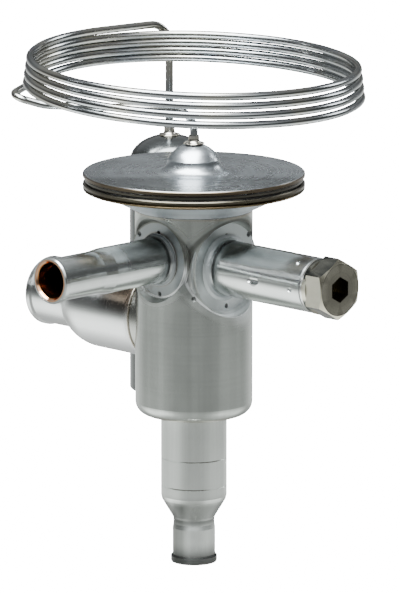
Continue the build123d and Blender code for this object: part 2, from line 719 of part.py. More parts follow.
def gland_bush():
    """Sleeve that guides the stem, with an inner groove for its seal ring."""
    end = GLAND_START + GLAND_LENGTH
    middle = GLAND_START + GLAND_LENGTH / 2
    groove = STEM_SHAFT_RADIUS + SEAL_SECTION + SEAL_GROOVE_PLAY
    half = SEAL_GROOVE_WIDTH / 2
    bush = tube(HOUSING_BORE - SEATING, STEM_SHAFT_RADIUS + RUNNING, GLAND_START, end)
    return STEM * (bush - tube(groove, STEM_SHAFT_RADIUS, middle - half, middle + half))


def stem_seal_ring():
    mean = STEM_SHAFT_RADIUS + RUNNING + SEAL_SECTION / 2
    return STEM * o_ring(mean, SEAL_SECTION, GLAND_START + GLAND_LENGTH / 2)


def retaining_clip():
    """Open spring ring that holds the gland in the housing."""
    start = GLAND_START + GLAND_LENGTH + SEATING
    ring = tube(HOUSING_BORE - SEATING, HOUSING_BORE - CLIP_WIDTH, start, start + CLIP_THICKNESS)
    gap = Pos(HOUSING_BORE, 0, start) * Box(HOUSING_BORE, CLIP_GAP, 4 * CLIP_THICKNESS)
    return STEM * (ring - gap)


def cap_gasket():
    return STEM * tube(HOUSING_RADIUS - GASKET_INSET, HOUSING_BORE + GASKET_INSET, HOUSING_END, GASKET_END)


def sealing_cap():
    """Hexagon plug with a key socket, a washer face and a hollow skirt."""
    start = GASKET_END + SEATING
    hex_start = start + CAP_FLANGE_LENGTH
    end = hex_start + CAP_HEX_LENGTH
    corner = CAP_HEX / math.sqrt(3)
    hexagon = RegularPolygon(CAP_HEX / 2, 6, major_radius=False)
    head = extrude(Pos(0, 0, hex_start) * hexagon, amount=CAP_HEX_LENGTH)
    round_off = turned(
        (0, hex_start),
        (corner, hex_start),
        (corner, end - CAP_CHAMFER),
        (corner - 2 * CAP_CHAMFER, end),
        (0, end),
    )
    flange = disc(CAP_FLANGE_RADIUS, start, hex_start + SEATING)
    skirt_start = GASKET_END - GASKET_THICKNESS - CAP_SKIRT_LENGTH
    skirt_outer = HOUSING_BORE - RUNNING
    skirt = disc(skirt_outer, skirt_start, start + SEATING)
    hollow = disc(skirt_outer - CAP_SKIRT_WALL, skirt_start, start)
    key = Pos(0, 0, end - CAP_KEY_DEPTH) * RegularPolygon(CAP_KEY / 2, 6, major_radius=False)
    plug = (head & round_off) + flange + skirt
    return STEM * (Rot(0, 0, 30) * (plug - hollow - extrude(key, amount=CAP_KEY_DEPTH + 1)))


# ---------------------------------------------------------------- superheat mechanism
def guide_block():
    """Partition below the stem with a tower that carries the crown gear."""
    block = body_form(BODY_WALL + SEATING, BODY_TOP) & disc(BODY_RADIUS, GUIDE_BOTTOM, GUIDE_TOP)
    tower = turned(
        (0, GUIDE_BOTTOM),
        (TOWER_RADIUS, GUIDE_BOTTOM),
        (TOWER_RADIUS, CROWN_SEAT - SEATING),
        (TOWER_NECK_RADIUS, CROWN_SEAT - SEATING),
        (TOWER_NECK_RADIUS, TOWER_TOP),
        (0, TOWER_TOP),
    )
    waste = TOWER_NECK_RADIUS
    for side in (-1, 1):
        beside = Pos(0, side * (TOWER_FLAT + waste / 2), (HUB_TOP + TOWER_TOP) / 2)
        tower -= beside * Box(4 * waste, waste, TOWER_TOP - HUB_TOP)
    block += tower
    block -= disc(PUSH_ROD_RADIUS + RUNNING, GUIDE_BOTTOM - 1, TOWER_TOP + 1)
    return block - disc(ROD_SEAL_RADIUS, GUIDE_BOTTOM - 1, GUIDE_BOTTOM + SEAL_CUP_ROOM + ROD_SEAL_HEIGHT)


def rod_seal():
    """Moulded ring round the push rod, in a pocket under the guide block."""
    bottom = GUIDE_BOTTOM + SEAL_CUP_ROOM
    top = bottom + ROD_SEAL_HEIGHT - SEATING
    return tube(ROD_SEAL_RADIUS - SEATING, PUSH_ROD_RADIUS + RUNNING, bottom, top)


def rod_seal_cup():
    """Pressed washer that closes the seal's pocket."""
    top = GUIDE_BOTTOM + SEAL_CUP_THICKNESS
    return tube(ROD_SEAL_RADIUS - SEATING, PUSH_ROD_RADIUS + SEAL_CUP_PLAY, GUIDE_BOTTOM, top)


def crown_tooth():
    """One face tooth, as wide for its radius as its pitch allows, pointing down."""
    reach = GEAR_FACE / 2 + CROWN_TOOTH_OVERRUN
    sections = []
    for radius in (CROWN_RADIUS - reach, CROWN_RADIUS + reach):
        half = GEAR_TOOTH_SHARE * math.pi * radius / CROWN_TEETH
        outline = Polyline(
            (-TOOTH_FOOT * half, CROWN_BOTTOM + SEATING),
            (-CROWN_TIP * half, MESH_HEIGHT - ADDENDUM),
            (CROWN_TIP * half, MESH_HEIGHT - ADDENDUM),
            (TOOTH_FOOT * half, CROWN_BOTTOM + SEATING),
            close=True,
        )
        across = Plane(origin=(radius, 0, 0), x_dir=(0, 1, 0), z_dir=(1, 0, 0))
        sections.append(across * make_face(outline))
    return loft(sections)


def crown_gear():
    """Face gear that turns on the tower, with a threaded hub for the carrier."""
    rim = CROWN_RADIUS + GEAR_FACE / 2 + CROWN_EDGE
    disc_top = CROWN_BOTTOM + CROWN_THICKNESS
    gear = turned(
        (TOWER_NECK_RADIUS + RUNNING, CROWN_SEAT),
        (TOWER_RADIUS + 4 * RUNNING, CROWN_SEAT),
        (TOWER_RADIUS + 4 * RUNNING, CROWN_BOTTOM),
        (rim, CROWN_BOTTOM),
        (rim, disc_top),
        (CROWN_HUB_RADIUS, disc_top),
        (CROWN_HUB_RADIUS, HUB_TOP),
        (TOWER_NECK_RADIUS + RUNNING, HUB_TOP),
    )
    for i in range(CROWN_TEETH):
        gear += Rot(0, 0, (i + 0.5) * 360.0 / CROWN_TEETH) * crown_tooth()
    return gear


def spring_carrier():
    """Keyed nut on the crown gear's hub, with a flange under the spring."""
    inside = CROWN_HUB_RADIUS + RUNNING
    outside = inside + CARRIER_SKIRT_WALL
    carrier = turned(
        (inside, FLANGE_BOTTOM),
        (CARRIER_FLANGE_RADIUS, FLANGE_BOTTOM),
        (CARRIER_FLANGE_RADIUS, SPRING_BOTTOM),
        (outside, SPRING_BOTTOM),
        (outside, LID_BOTTOM + CARRIER_LID),
        (0, LID_BOTTOM + CARRIER_LID),
        (0, LID_BOTTOM),
        (inside, LID_BOTTOM),
    )
    flats = Box(4 * TOWER_NECK_RADIUS, 2 * (TOWER_FLAT + RUNNING), 4 * CARRIER_LID)
    keyhole = disc(TOWER_NECK_RADIUS + RUNNING, LID_BOTTOM - 1, LID_BOTTOM + 2 * CARRIER_LID)
    return carrier - (keyhole & Pos(0, 0, LID_BOTTOM) * flats)


def superheat_spring():
    """Compression spring with ground ends between the carrier and the thrust pad."""
    closed = 2 * SPRING_WIRE_RADIUS
    bottom = SPRING_BOTTOM + SEATING
    top = SPRING_TOP - SEATING
    count = round(SPRING_TURNS * SPRING_CORNERS)
    stretch = 1 / math.cos(math.pi / SPRING_CORNERS)
    rise = (top - bottom - 0.5 * closed) / (count - 1)
    points = []
    for i in range(count):
        angle = 2 * math.pi * i / SPRING_CORNERS
        radius = stretch * SPRING_RADIUS
        height = bottom + 0.25 * closed + i * rise
        points.append((radius * math.cos(angle), radius * math.sin(angle), height))
    path = FilletPolyline(*points, radius=[0.9 * SPRING_RADIUS] * (count - 2))
    section = Plane(origin=path @ 0, z_dir=path % 0) * Circle(SPRING_WIRE_RADIUS)
    ends = disc(2 * SPRING_RADIUS, bottom, top)
    return sweep(section, path=path) & ends


def thrust_pad():
    """Disc under the diaphragm with a hub for the push rod."""
    hub_bottom = SPRING_TOP - THRUST_HUB_LENGTH
    pocket = SPRING_TOP - ROD_POCKET
    return turned(
        (PUSH_ROD_RADIUS + SEATING, hub_bottom),
        (THRUST_HUB_RADIUS, hub_bottom),
        (THRUST_HUB_RADIUS, SPRING_TOP),
        (THRUST_PAD_RADIUS, SPRING_TOP),
        (THRUST_PAD_RADIUS, THRUST_TOP - THRUST_EDGE),
        (THRUST_PAD_RADIUS - THRUST_EDGE, THRUST_TOP),
        (0, THRUST_TOP),
        (0, pocket),
        (PUSH_ROD_RADIUS + SEATING, pocket),
    )


def push_rod():
    return disc(PUSH_ROD_RADIUS, SEAT_BOTTOM - CONE_LENGTH - ROD_TAIL, SPRING_TOP - ROD_POCKET - SEATING)


def seat_block():
    """Partition between the inlet and outlet chambers."""
    top = SEAT_BOTTOM + SEAT_THICKNESS
    block = body_form(BODY_WALL + SEATING, BODY_TOP) & disc(BODY_RADIUS, SEAT_BOTTOM, top)
    block -= disc(ORIFICE_RING_RADIUS, SEAT_BOTTOM - 1, SEAT_BOTTOM + ORIFICE_RING_LENGTH)
    return block - disc(ORIFICE_RADIUS + ORIFICE_EDGE, SEAT_BOTTOM, top + 1)


def orifice_ring():
    """Hard ring pressed into the seat block, with the sharp edge that the cone closes."""
    outer = ORIFICE_RING_RADIUS - SEATING
    top = SEAT_BOTTOM + ORIFICE_RING_LENGTH - SEATING
    return tube(outer, ORIFICE_RADIUS, SEAT_BOTTOM, top)


def valve_cone():
    """Cone on the rod's lower end, just clear of the orifice edge when closed."""
    tip = PUSH_ROD_RADIUS + CONE_TIP
    bottom = SEAT_BOTTOM - CONE_LENGTH
    top = SEAT_BOTTOM + (ORIFICE_RADIUS - tip) - 2 * RUNNING
    return turned(
        (PUSH_ROD_RADIUS + SEATING, bottom),
        (CONE_RADIUS - CONE_EDGE, bottom),
        (CONE_RADIUS, bottom + CONE_EDGE),
        (CONE_RADIUS, top - (CONE_RADIUS - tip)),
        (tip, top),
        (PUSH_ROD_RADIUS + SEATING, top),
    )


def inlet_strainer():
    """Mesh cup that hangs in the inlet tube under its flange."""
    top = BODY_BOTTOM - SEATING
    flange = INLET_TUBE_RADIUS - INLET_TUBE_WALL - SEATING
    floor = top - STRAINER_LENGTH
    foot = STRAINER_RADIUS - STRAINER_TAPER
    return turned(
        (STRAINER_RADIUS - STRAINER_WALL, top),
        (flange, top),
        (flange, top - STRAINER_FLANGE),
        (STRAINER_RADIUS, top - STRAINER_FLANGE),
        (foot, floor + 0.6 * STRAINER_TAPER),
        (foot - STRAINER_TAPER, floor),
        (0, floor),
        (0, floor + STRAINER_WALL),
        (foot - 1.2 * STRAINER_TAPER, floor + STRAINER_WALL),
        (foot - STRAINER_WALL, floor + 1.2 * STRAINER_TAPER),
    )


def strainer_ring():
    """Sprung ring that holds the strainer's flange up against the body's floor."""
    top = BODY_BOTTOM - STRAINER_FLANGE - 2 * SEATING
    outer = INLET_TUBE_RADIUS - INLET_TUBE_WALL - SEATING
    return tube(outer, STRAINER_RADIUS + STRAINER_RING_PLAY, top - STRAINER_RING_HEIGHT, top)


# ---------------------------------------------------------------- all sub-parts
save(valve_body(), "valve_body")
save(inlet_connector(), "inlet_connector")
save(liner(INLET, SMALL_BORE, BODY_BOTTOM, SOCKET_DEPTH), "inlet_liner")
save(equalizer_connector(), "equalizer_connector")
save(liner(EQUALIZER, SMALL_BORE, EQUALIZER_MOUTH, SOCKET_DEPTH), "equalizer_liner")
save(outlet_connector(), "outlet_connector")
save(liner(OUTLET, LARGE_BORE, OUTLET_MOUTH, LARGE_SOCKET_DEPTH), "outlet_liner")
save(lower_cover(), "lower_cover")
save(clamp_ring(), "clamp_ring")
save(upper_cover(), "upper_cover")
save(diaphragm(), "diaphragm")
save(capillary_tube(), "capillary_tube")
save(ferrule(DOME_TOP), "element_ferrule")
save(Pos(BULB_X, BULB_Y, 0) * ferrule(BULB_TOP), "bulb_ferrule")
save(sensing_bulb(), "sensing_bulb")
save(stem_housing(), "stem_housing")
save(adjusting_stem(), "adjusting_stem")
save(gland_bush(), "gland_bush")
save(stem_seal_ring(), "stem_seal_ring")
save(retaining_clip(), "retaining_clip")
save(cap_gasket(), "cap_gasket")
save(sealing_cap(), "sealing_cap")
save(guide_block(), "guide_block")
save(rod_seal(), "rod_seal")
save(rod_seal_cup(), "rod_seal_cup")
save(crown_gear(), "crown_gear")
save(spring_carrier(), "spring_carrier")
save(superheat_spring(), "superheat_spring")
save(thrust_pad(), "thrust_pad")
save(push_rod(), "push_rod")
save(seat_block(), "seat_block")
save(orifice_ring(), "orifice_ring")
save(valve_cone(), "valve_cone")
save(inlet_strainer(), "inlet_strainer")
save(strainer_ring(), "strainer_ring")
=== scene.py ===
"""Looks of the expansion valve: metal finishes, weld beads, heat tint, stage, light and camera."""
import bpy
import bmesh
import json
import math
import random
from mathutils import Matrix, Vector


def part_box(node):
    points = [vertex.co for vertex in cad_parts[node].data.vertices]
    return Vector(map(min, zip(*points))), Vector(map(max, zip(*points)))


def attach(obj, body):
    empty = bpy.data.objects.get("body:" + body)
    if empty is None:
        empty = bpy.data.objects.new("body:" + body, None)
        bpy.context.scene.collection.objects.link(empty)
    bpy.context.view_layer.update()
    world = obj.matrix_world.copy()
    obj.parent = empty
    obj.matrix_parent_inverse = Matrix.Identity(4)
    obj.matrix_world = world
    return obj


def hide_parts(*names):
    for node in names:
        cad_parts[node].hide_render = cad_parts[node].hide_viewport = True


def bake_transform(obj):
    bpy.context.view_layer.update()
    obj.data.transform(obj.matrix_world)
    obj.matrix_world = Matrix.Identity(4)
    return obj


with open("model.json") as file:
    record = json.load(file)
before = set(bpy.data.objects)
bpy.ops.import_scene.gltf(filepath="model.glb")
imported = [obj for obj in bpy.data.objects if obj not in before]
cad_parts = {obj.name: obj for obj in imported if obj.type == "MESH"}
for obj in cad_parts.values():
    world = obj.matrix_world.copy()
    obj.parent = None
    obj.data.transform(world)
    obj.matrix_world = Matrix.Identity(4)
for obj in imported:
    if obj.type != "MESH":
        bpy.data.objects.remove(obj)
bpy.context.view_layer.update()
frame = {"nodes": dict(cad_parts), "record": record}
random.seed(7)

# ---------------------------------------------------------------- places, metres, from the frame
MM = 0.001
ALONG_X, ALONG_Y, ALONG_Z = (1, 0, 0), (0, 1, 0), (0, 0, 1)
TO_EQUALIZER, TO_OUTLET, TO_INLET = (0, -1, 0), (-1, 0, 0), (0, 0, -1)

MOUNTS = {m["name"]: Vector(m["pos_m"]) for m in frame["record"]["mounts"]}
BODY_LOW, BODY_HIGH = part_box("valve_body")
HOUSING_LOW, HOUSING_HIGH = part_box("stem_housing")
CAP_LOW, CAP_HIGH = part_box("sealing_cap")
EQUALIZER_LOW, EQUALIZER_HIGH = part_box("equalizer_connector")
OUTLET_LOW, OUTLET_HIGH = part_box("outlet_connector")
BULB_LOW, BULB_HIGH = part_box("sensing_bulb")
RIM_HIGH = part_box("lower_cover")[1]
PLATE_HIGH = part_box("upper_cover")[1]

RIM_RADIUS = PLATE_HIGH.x
RIM_BASE = RIM_HIGH.z - 1.3 * MM
NECK_Z = 11.6 * MM
STEM_Z = (HOUSING_LOW.z + HOUSING_HIGH.z) / 2
EQUALIZER_Z = MOUNTS["equalizer_socket"].z
OUTLET_Z = MOUNTS["outlet_socket"].z
STEM_CENTRE = (0, 0, STEM_Z)
EQUALIZER_CENTRE = (0, 0, EQUALIZER_Z)
OUTLET_CENTRE = (0, 0, OUTLET_Z)
PLATE_CENTRE = (0, 0, PLATE_HIGH.z)
BULB_TOP = ((BULB_LOW.x + BULB_HIGH.x) / 2, (BULB_LOW.y + BULB_HIGH.y) / 2, BULB_HIGH.z)

# Root and mouth of each side tube, as distances along its own axis
HOUSING_ROOT = HOUSING_LOW.x
EQUALIZER_ROOT, EQUALIZER_MOUTH = -EQUALIZER_HIGH.y, -EQUALIZER_LOW.y
OUTLET_ROOT, OUTLET_MOUTH = -OUTLET_HIGH.x, -OUTLET_LOW.x

# ---------------------------------------------------------------- camera, as the photograph was taken
VIEW_AZIMUTH = math.radians(45.0)
VIEW_ELEVATION = math.radians(11.7)
VIEW_DISTANCE = 2.1
TARGET_ACROSS = 1.65 * MM
TARGET_HEIGHT = 73.3 * MM
LENS = 472.0


def view_point(across, away, height):
    """Place given as seen by the camera: across to the right, away behind, height up."""
    x = across * math.cos(VIEW_AZIMUTH) - away * math.sin(VIEW_AZIMUTH)
    y = across * math.sin(VIEW_AZIMUTH) + away * math.cos(VIEW_AZIMUTH)
    return Vector((x, y, height))


def aim(thing, target):
    thing.rotation_euler = (target - thing.location).to_track_quat("-Z", "Y").to_euler()


def add_camera():
    data = bpy.data.cameras.new("camera")
    data.lens = LENS
    data.clip_start = 0.05
    data.clip_end = 50.0
    camera = bpy.data.objects.new("camera", data)
    bpy.context.scene.collection.objects.link(camera)
    back = VIEW_DISTANCE * math.cos(VIEW_ELEVATION)
    up = VIEW_DISTANCE * math.sin(VIEW_ELEVATION)
    camera.location = view_point(TARGET_ACROSS, -back, TARGET_HEIGHT + up)
    aim(camera, view_point(TARGET_ACROSS, 0, TARGET_HEIGHT))
    bpy.context.scene.camera = camera


# ---------------------------------------------------------------- node helpers
class Nodes:
    """Short way to build a node tree."""

    def __init__(self, tree):
        self.tree = tree

    def add(self, kind, **values):
        node = self.tree.nodes.new(kind)
        for name, value in values.items():
            setattr(node, name, value)
        return node

    def link(self, out, into):
        self.tree.links.new(out, into)

    def put(self, socket, value):
        if isinstance(value, bpy.types.NodeSocket):
            self.link(value, socket)
        else:
            socket.default_value = value

    def math(self, operation, a, b=0.0, clamp=False):
        node = self.add("ShaderNodeMath", operation=operation, use_clamp=clamp)
        self.put(node.inputs[0], a)
        self.put(node.inputs[1], b)
        return node.outputs[0]

    def plus(self, a, b):
        return self.math("ADD", a, b)

    def minus(self, a, b, clamp=False):
        return self.math("SUBTRACT", a, b, clamp)

    def times(self, product, *factors):
        for factor in factors:
            product = self.math("MULTIPLY", product, factor)
        return product

    def between(self, a, b, share):
        """Number a where share is 0 and b where it is 1."""
        return self.plus(self.times(a, self.minus(1.0, share)), self.times(b, share))

    def span(self, value, low, high, to_low=0.0, to_high=1.0):
        """Smooth change from to_low to to_high as the value goes from low to high."""
        node = self.add("ShaderNodeMapRange", interpolation_type="SMOOTHSTEP")
        names = ("Value", "From Min", "From Max", "To Min", "To Max")
        for name, part in zip(names, (value, low, high, to_low, to_high)):
            self.put(node.inputs[name], part)
        return node.outputs["Result"]

    def below(self, value, low, high):
        """1 where the value is under low, falling to 0 at high."""
        return self.span(value, low, high, 1.0, 0.0)

    def off(self, value, middle):
        """How far the value is from the middle, either way."""
        return self.math("ABSOLUTE", self.minus(value, middle))

    def line(self, value, middle, core, edge):
        """1 where the value is within core of the middle, falling to 0 at edge."""
        return self.below(self.off(value, middle), core, edge)

    def vector(self, operation, a, b=(0, 0, 0)):
        node = self.add("ShaderNodeVectorMath", operation=operation)
        self.put(node.inputs[0], a)
        self.put(node.inputs[1], b)
        return node.outputs["Value" if operation in ("DOT_PRODUCT", "DISTANCE") else "Vector"]

    def scaled(self, vector, scale):
        node = self.add("ShaderNodeVectorMath", operation="SCALE")
        self.put(node.inputs[0], vector)
        self.put(node.inputs["Scale"], scale)
        return node.outputs["Vector"]

    def pack(self, x, y, z):
        node = self.add("ShaderNodeCombineXYZ")
        for socket, value in zip(node.inputs, (x, y, z)):
            self.put(socket, value)
        return node.outputs["Vector"]

    def along(self, point, centre, axis):
        """Distance along an axis, and distance out from it."""
        offset = self.vector("SUBTRACT", point, tuple(centre))
        run = self.vector("DOT_PRODUCT", offset, tuple(axis))
        square = self.vector("DOT_PRODUCT", offset, offset)
        return run, self.math("SQRT", self.minus(square, self.times(run, run)))

    def place(self):
        return self.add("ShaderNodeTexCoord").outputs["Object"]

    def noise(self, vector, scale, detail=3.0, roughness=0.5):
        node = self.add("ShaderNodeTexNoise")
        node.inputs["Scale"].default_value = scale
        node.inputs["Detail"].default_value = detail
        node.inputs["Roughness"].default_value = roughness
        self.link(vector, node.inputs["Vector"])
        return node.outputs["Fac"]

    def ramp(self, value, stops):
        node = self.add("ShaderNodeValToRGB")
        band = node.color_ramp
        while len(band.elements) < len(stops):
            band.elements.new(0.5)
        for element, (spot, colour) in zip(band.elements, stops):
            element.position = spot
            element.color = (*colour, 1.0)
        self.put(node.inputs["Fac"], value)
        return node.outputs["Color"]

    def mix(self, share, a, b):
        node = self.add("ShaderNodeMix", data_type="RGBA")
        self.put(node.inputs["Factor"], share)
        for socket, value in ((node.inputs["A"], a), (node.inputs["B"], b)):
            self.put(socket, value if isinstance(value, bpy.types.NodeSocket) else (*value, 1.0))
        return node.outputs["Result"]

    def bump(self, height, strength, distance):
        node = self.add("ShaderNodeBump")
        node.inputs["Strength"].default_value = strength
        node.inputs["Distance"].default_value = distance
        self.link(height, node.inputs["Height"])
        return node.outputs["Normal"]


def new_material(name):
    material = bpy.data.materials.new(name)
    material.use_nodes = True
    return material, material.node_tree.nodes["Principled BSDF"]


# ---------------------------------------------------------------- metal finishes
DARK_OXIDE = (0.10, 0.075, 0.06)
BROWN_OXIDE = (0.34, 0.21, 0.10)
STRAW_OXIDE = (0.60, 0.50, 0.33)
OXIDE_BANDS = ((0.0, DARK_OXIDE), (0.3, BROWN_OXIDE), (0.7, STRAW_OXIDE), (1.0, STRAW_OXIDE))
LEAST_ROUGH = 0.04


class Metal(Nodes):
    """One metal finish: fine lines left by its making, uneven patches, specks, wear and heat tint.

    base, rough and height gather the colour, the roughness and the relief until done() joins them.
    """

    def __init__(self, name, colour, rough, centre=(0, 0, 0), axis=ALONG_Z, spread=0.10):
        self.material, self.shader = new_material(name)
        super().__init__(self.material.node_tree)
        self.shader.inputs["Metallic"].default_value = 1.0
        self.point = self.place()
        self.run, self.out = self.along(self.point, centre, axis)
        self.axis = axis
        self.patches = self.noise(self.point, 45.0)
        self.cloud = self.noise(self.point, 160.0, 4.0, 0.6)
        light = tuple(min(1.0, part * 1.07) for part in colour)
        dark = tuple(part * 0.90 for part in colour)
        self.base = self.mix(self.span(self.patches, 0.35, 0.65), dark, light)
        self.rough = self.plus(rough - spread / 2, self.times(self.cloud, spread))
        self.height = self.times(self.cloud, 0.25)

    # Where on the surface
    def toward(self, direction):
        """Distance from the frame's origin in a direction."""
        return self.vector("DOT_PRODUCT", self.point, tuple(direction))

    def leaning(self, centre, side):
        """Distance from a centre towards one side."""
        offset = self.vector("SUBTRACT", self.point, tuple(centre))
        return self.vector("DOT_PRODUCT", offset, tuple(Vector(side).normalized()))

    def near(self, spot):
        """Distance from a point."""
        return self.vector("DISTANCE", self.point, tuple(spot))

    def within(self, spot, radius, edge):
        """1 inside a ball, falling to 0 across its edge."""
        return self.below(self.near(spot), radius - edge, radius + edge)

    def facing(self, axis):
        """How squarely the surface faces an axis."""
        normal = self.add("ShaderNodeTexCoord").outputs["Normal"]
        return self.vector("DOT_PRODUCT", normal, tuple(axis))

    # Changes of colour and roughness
    def shade(self, factor):
        """Multiply the colour by a factor that varies over the surface."""
        node = self.add("ShaderNodeMix", data_type="RGBA", blend_type="MULTIPLY")
        node.inputs["Factor"].default_value = 1.0
        self.put(node.inputs["A"], self.base)
        self.put(node.inputs["B"], self.pack(factor, factor, factor))
        self.base = node.outputs["Result"]

    def dim(self, weight, share):
        """Take a share of the colour away where weight is 1."""
        self.shade(self.minus(1.0, self.times(weight, share)))

    def brighten(self, weight, share):
        """Add a share of the colour where weight is 1."""
        self.shade(self.plus(1.0, self.times(weight, share)))

    def paint(self, colour, *weights):
        """Lay a colour over the surface, as strongly as all the weights together."""
        self.base = self.mix(self.times(*weights), self.base, colour)

    def roughen(self, weight, change):
        """Add change to the roughness where weight is 1; a change below 0 polishes."""
        self.rough = self.plus(self.rough, self.times(weight, change))

    def tint(self, field, near, far, strength, wander=0.5):
        """Oxide colours from heat: dark next to the joint, brown, straw, then bare metal."""
        spread = self.times(self.minus(self.patches, 0.5), wander * (far - near) * 2)
        fade = self.span(self.plus(field, spread), near, far)
        weight = self.math("MULTIPLY", self.minus(1.0, fade), strength, clamp=True)
        self.paint(self.ramp(fade, OXIDE_BANDS), weight)
        self.roughen(weight, 0.12)

    # Marks of making and use
    def stretched(self, along, across):
        """Place squeezed along the axis, for grain that runs round it or down it."""
        slide = self.scaled(tuple(self.axis), self.times(self.run, along - across))
        return self.vector("ADD", self.scaled(self.point, across), slide)

    def grain(self, vector, strength, tone=0.05):
        """Fine lines, seen in height, in gloss and slightly in tone."""
        lines = self.noise(vector, 1.0, 2.0, 0.6)
        self.height = self.plus(self.height, self.times(lines, strength))
        self.roughen(self.minus(lines, 0.5), 0.12 * strength)
        self.shade(self.span(lines, 0.35, 0.65, 1.0 - tone, 1.0 + tone))

    def rings(self, strength, per_mm=2.2, tone=0.05):
        """Lines round the axis."""
        self.grain(self.stretched(per_mm * 1000, 25.0), strength, tone)

    def drawn(self, strength, per_mm=1.6, tone=0.05):
        """Lines down the axis."""
        self.grain(self.stretched(25.0, per_mm * 1000), strength, tone)

    def turned_face(self, strength, per_mm=1.8):
        """Concentric lines about the axis."""
        far = self.pack(self.times(self.out, per_mm * 1000), 0.0, 0.0)
        self.grain(self.vector("ADD", far, self.scaled(self.point, 30.0)), strength)

    def specks(self, scale, size, colour=(0.10, 0.10, 0.10), weight=0.5):
        """Scattered pits and specks of dirt."""
        cells = self.add("ShaderNodeTexVoronoi")
        cells.inputs["Scale"].default_value = scale
        self.link(self.point, cells.inputs["Vector"])
        pit = self.below(cells.outputs["Distance"], 0.0, size)
        pit = self.times(pit, self.span(self.patches, 0.50, 0.62))
        self.paint(colour, pit, weight)
        self.height = self.minus(self.height, self.times(pit, 0.6))

    def hairlines(self, per_mm, length):
        """Sparse, faint and straight marks round the axis."""
        lines = self.noise(self.stretched(per_mm * 1000, length), 1.0, 1.0)
        mark = self.times(self.span(lines, 0.66, 0.74), self.span(self.patches, 0.40, 0.60))
        self.roughen(mark, 0.06)
        self.dim(mark, 0.075)

    def streaks(self, share=0.07):
        """Soft random bands of lighter and darker colour down the axis."""
        band = self.noise(self.stretched(6.0, 300.0), 1.0, 2.0)
        self.shade(self.span(band, 0.35, 0.65, 1.0 - share, 1.0 + share))

    def worn(self, strength, colour):
        """Rubbed convex edges."""
        edge = self.span(self.add("ShaderNodeNewGeometry").outputs["Pointiness"], 0.52, 0.60)
        rub = self.times(self.cloud, 2 * strength)
        self.paint(colour, self.math("MULTIPLY", edge, rub, clamp=True))

    def done(self, depth):
        """Join everything to the shader; depth is the relief of the grain in mm."""
        self.link(self.base, self.shader.inputs["Base Color"])
        self.link(self.math("MAXIMUM", self.rough, LEAST_ROUGH), self.shader.inputs["Roughness"])
        self.link(self.bump(self.height, 0.6, depth * MM), self.shader.inputs["Normal"])
        return self.material


# ---------------------------------------------------------------- body and side tubes
SHELL_RELIEF, TUBE_RELIEF = 0.006, 0.003
STEM_PAD, EQUALIZER_PAD = 12.5 * MM, 9.8 * MM
STEM_FACE, EQUALIZER_FACE = 12.3, 13.6
# Tones of one milled finish on two flats: lighter on the stem's flat as painted light, darker on the
# equalizer's flat as painted shade.
STEM_FLAT_LIT_TONE, EQUALIZER_FLAT_SHADED_TONE = (0.52, 0.56, 0.57), (0.29, 0.315, 0.325)

# Punch marks, mm: across and up from each port on its flat, and one on the saddle between them
STEM_MARKS = ((0.1, 8.5), (0.2, -10.6), (8.6, 7.9), (8.0, -8.4))
EQUALIZER_MARKS = ((0.2, 7.2), (0.5, -9.4), (-7.2, 6.0), (-7.4, -6.2))
PUNCH_MARKS = [Vector((STEM_FACE, y, STEM_Z / MM + z)) * MM for y, z in STEM_MARKS]
PUNCH_MARKS += [Vector((x, -EQUALIZER_FACE, EQUALIZER_Z / MM + z)) * MM for x, z in EQUALIZER_MARKS]
PUNCH_MARKS.append(view_point(0, -BODY_HIGH.x, 75.8 * MM))


def flat_pad(m, centre, axis, radius, tone):
    """Milled flat round a port, matte, with painted shade on the skirt round it, painted shade on its edge
    above and a painted highlight on its edge below.
    """
    run, out = m.along(m.point, centre, axis)
    in_front = m.span(run, 5 * MM, 8 * MM)
    disc = m.below(out, radius - 0.2 * MM, radius + 0.3 * MM)
    flat = m.times(m.span(m.facing(axis), 0.75, 0.90), disc, in_front)
    # The flat painted in its given tone: painted light on the stem's flat, painted shade on the equalizer's.
    m.paint(tone, flat, 0.85)
    m.roughen(flat, 0.20)
    skirt = m.times(m.below(out, radius + 1.8 * MM, radius + 3.0 * MM), in_front)
    skirt = m.minus(skirt, flat, clamp=True)
    m.roughen(skirt, 0.26)
    # Painted shade on the skirt round the flat.
    m.dim(skirt, 0.22)
    low = m.below(m.minus(m.toward(ALONG_Z), centre[2]), -3 * MM, 2 * MM)
    # Painted highlight on the edge below the port's middle, painted shade on the edge above it.
    rim = m.times(skirt, m.line(out, radius + 0.4 * MM, 0.15 * MM, 0.4 * MM))
    m.paint((0.95, 0.97, 0.97), rim, low, 0.85)
    painted_shade_brow = m.times(skirt, m.line(out, radius + 0.7 * MM, 0.2 * MM, 1.0 * MM))
    m.paint((0.10, 0.10, 0.09), painted_shade_brow, m.minus(1.0, low), 0.75)


def painted_root_shade(m, centre, axis, radius, reach, strength, side):
    """Painted shade on the body beside a port's root, on the side named."""
    _, out = m.along(m.point, centre, axis)
    ring = m.below(out, radius, radius + reach)
    m.dim(m.times(ring, m.span(m.leaning(centre, side), 0.0, 5 * MM)), strength)


def port_tint(m, centre, axis, radius, reach, strength):
    """Heat tint round one port's neck, on the body."""
    run, out = m.along(m.point, centre, axis)
    behind = m.below(run, 0.0, 4 * MM)
    m.tint(m.plus(m.minus(out, radius), behind), 0.0, reach, strength)


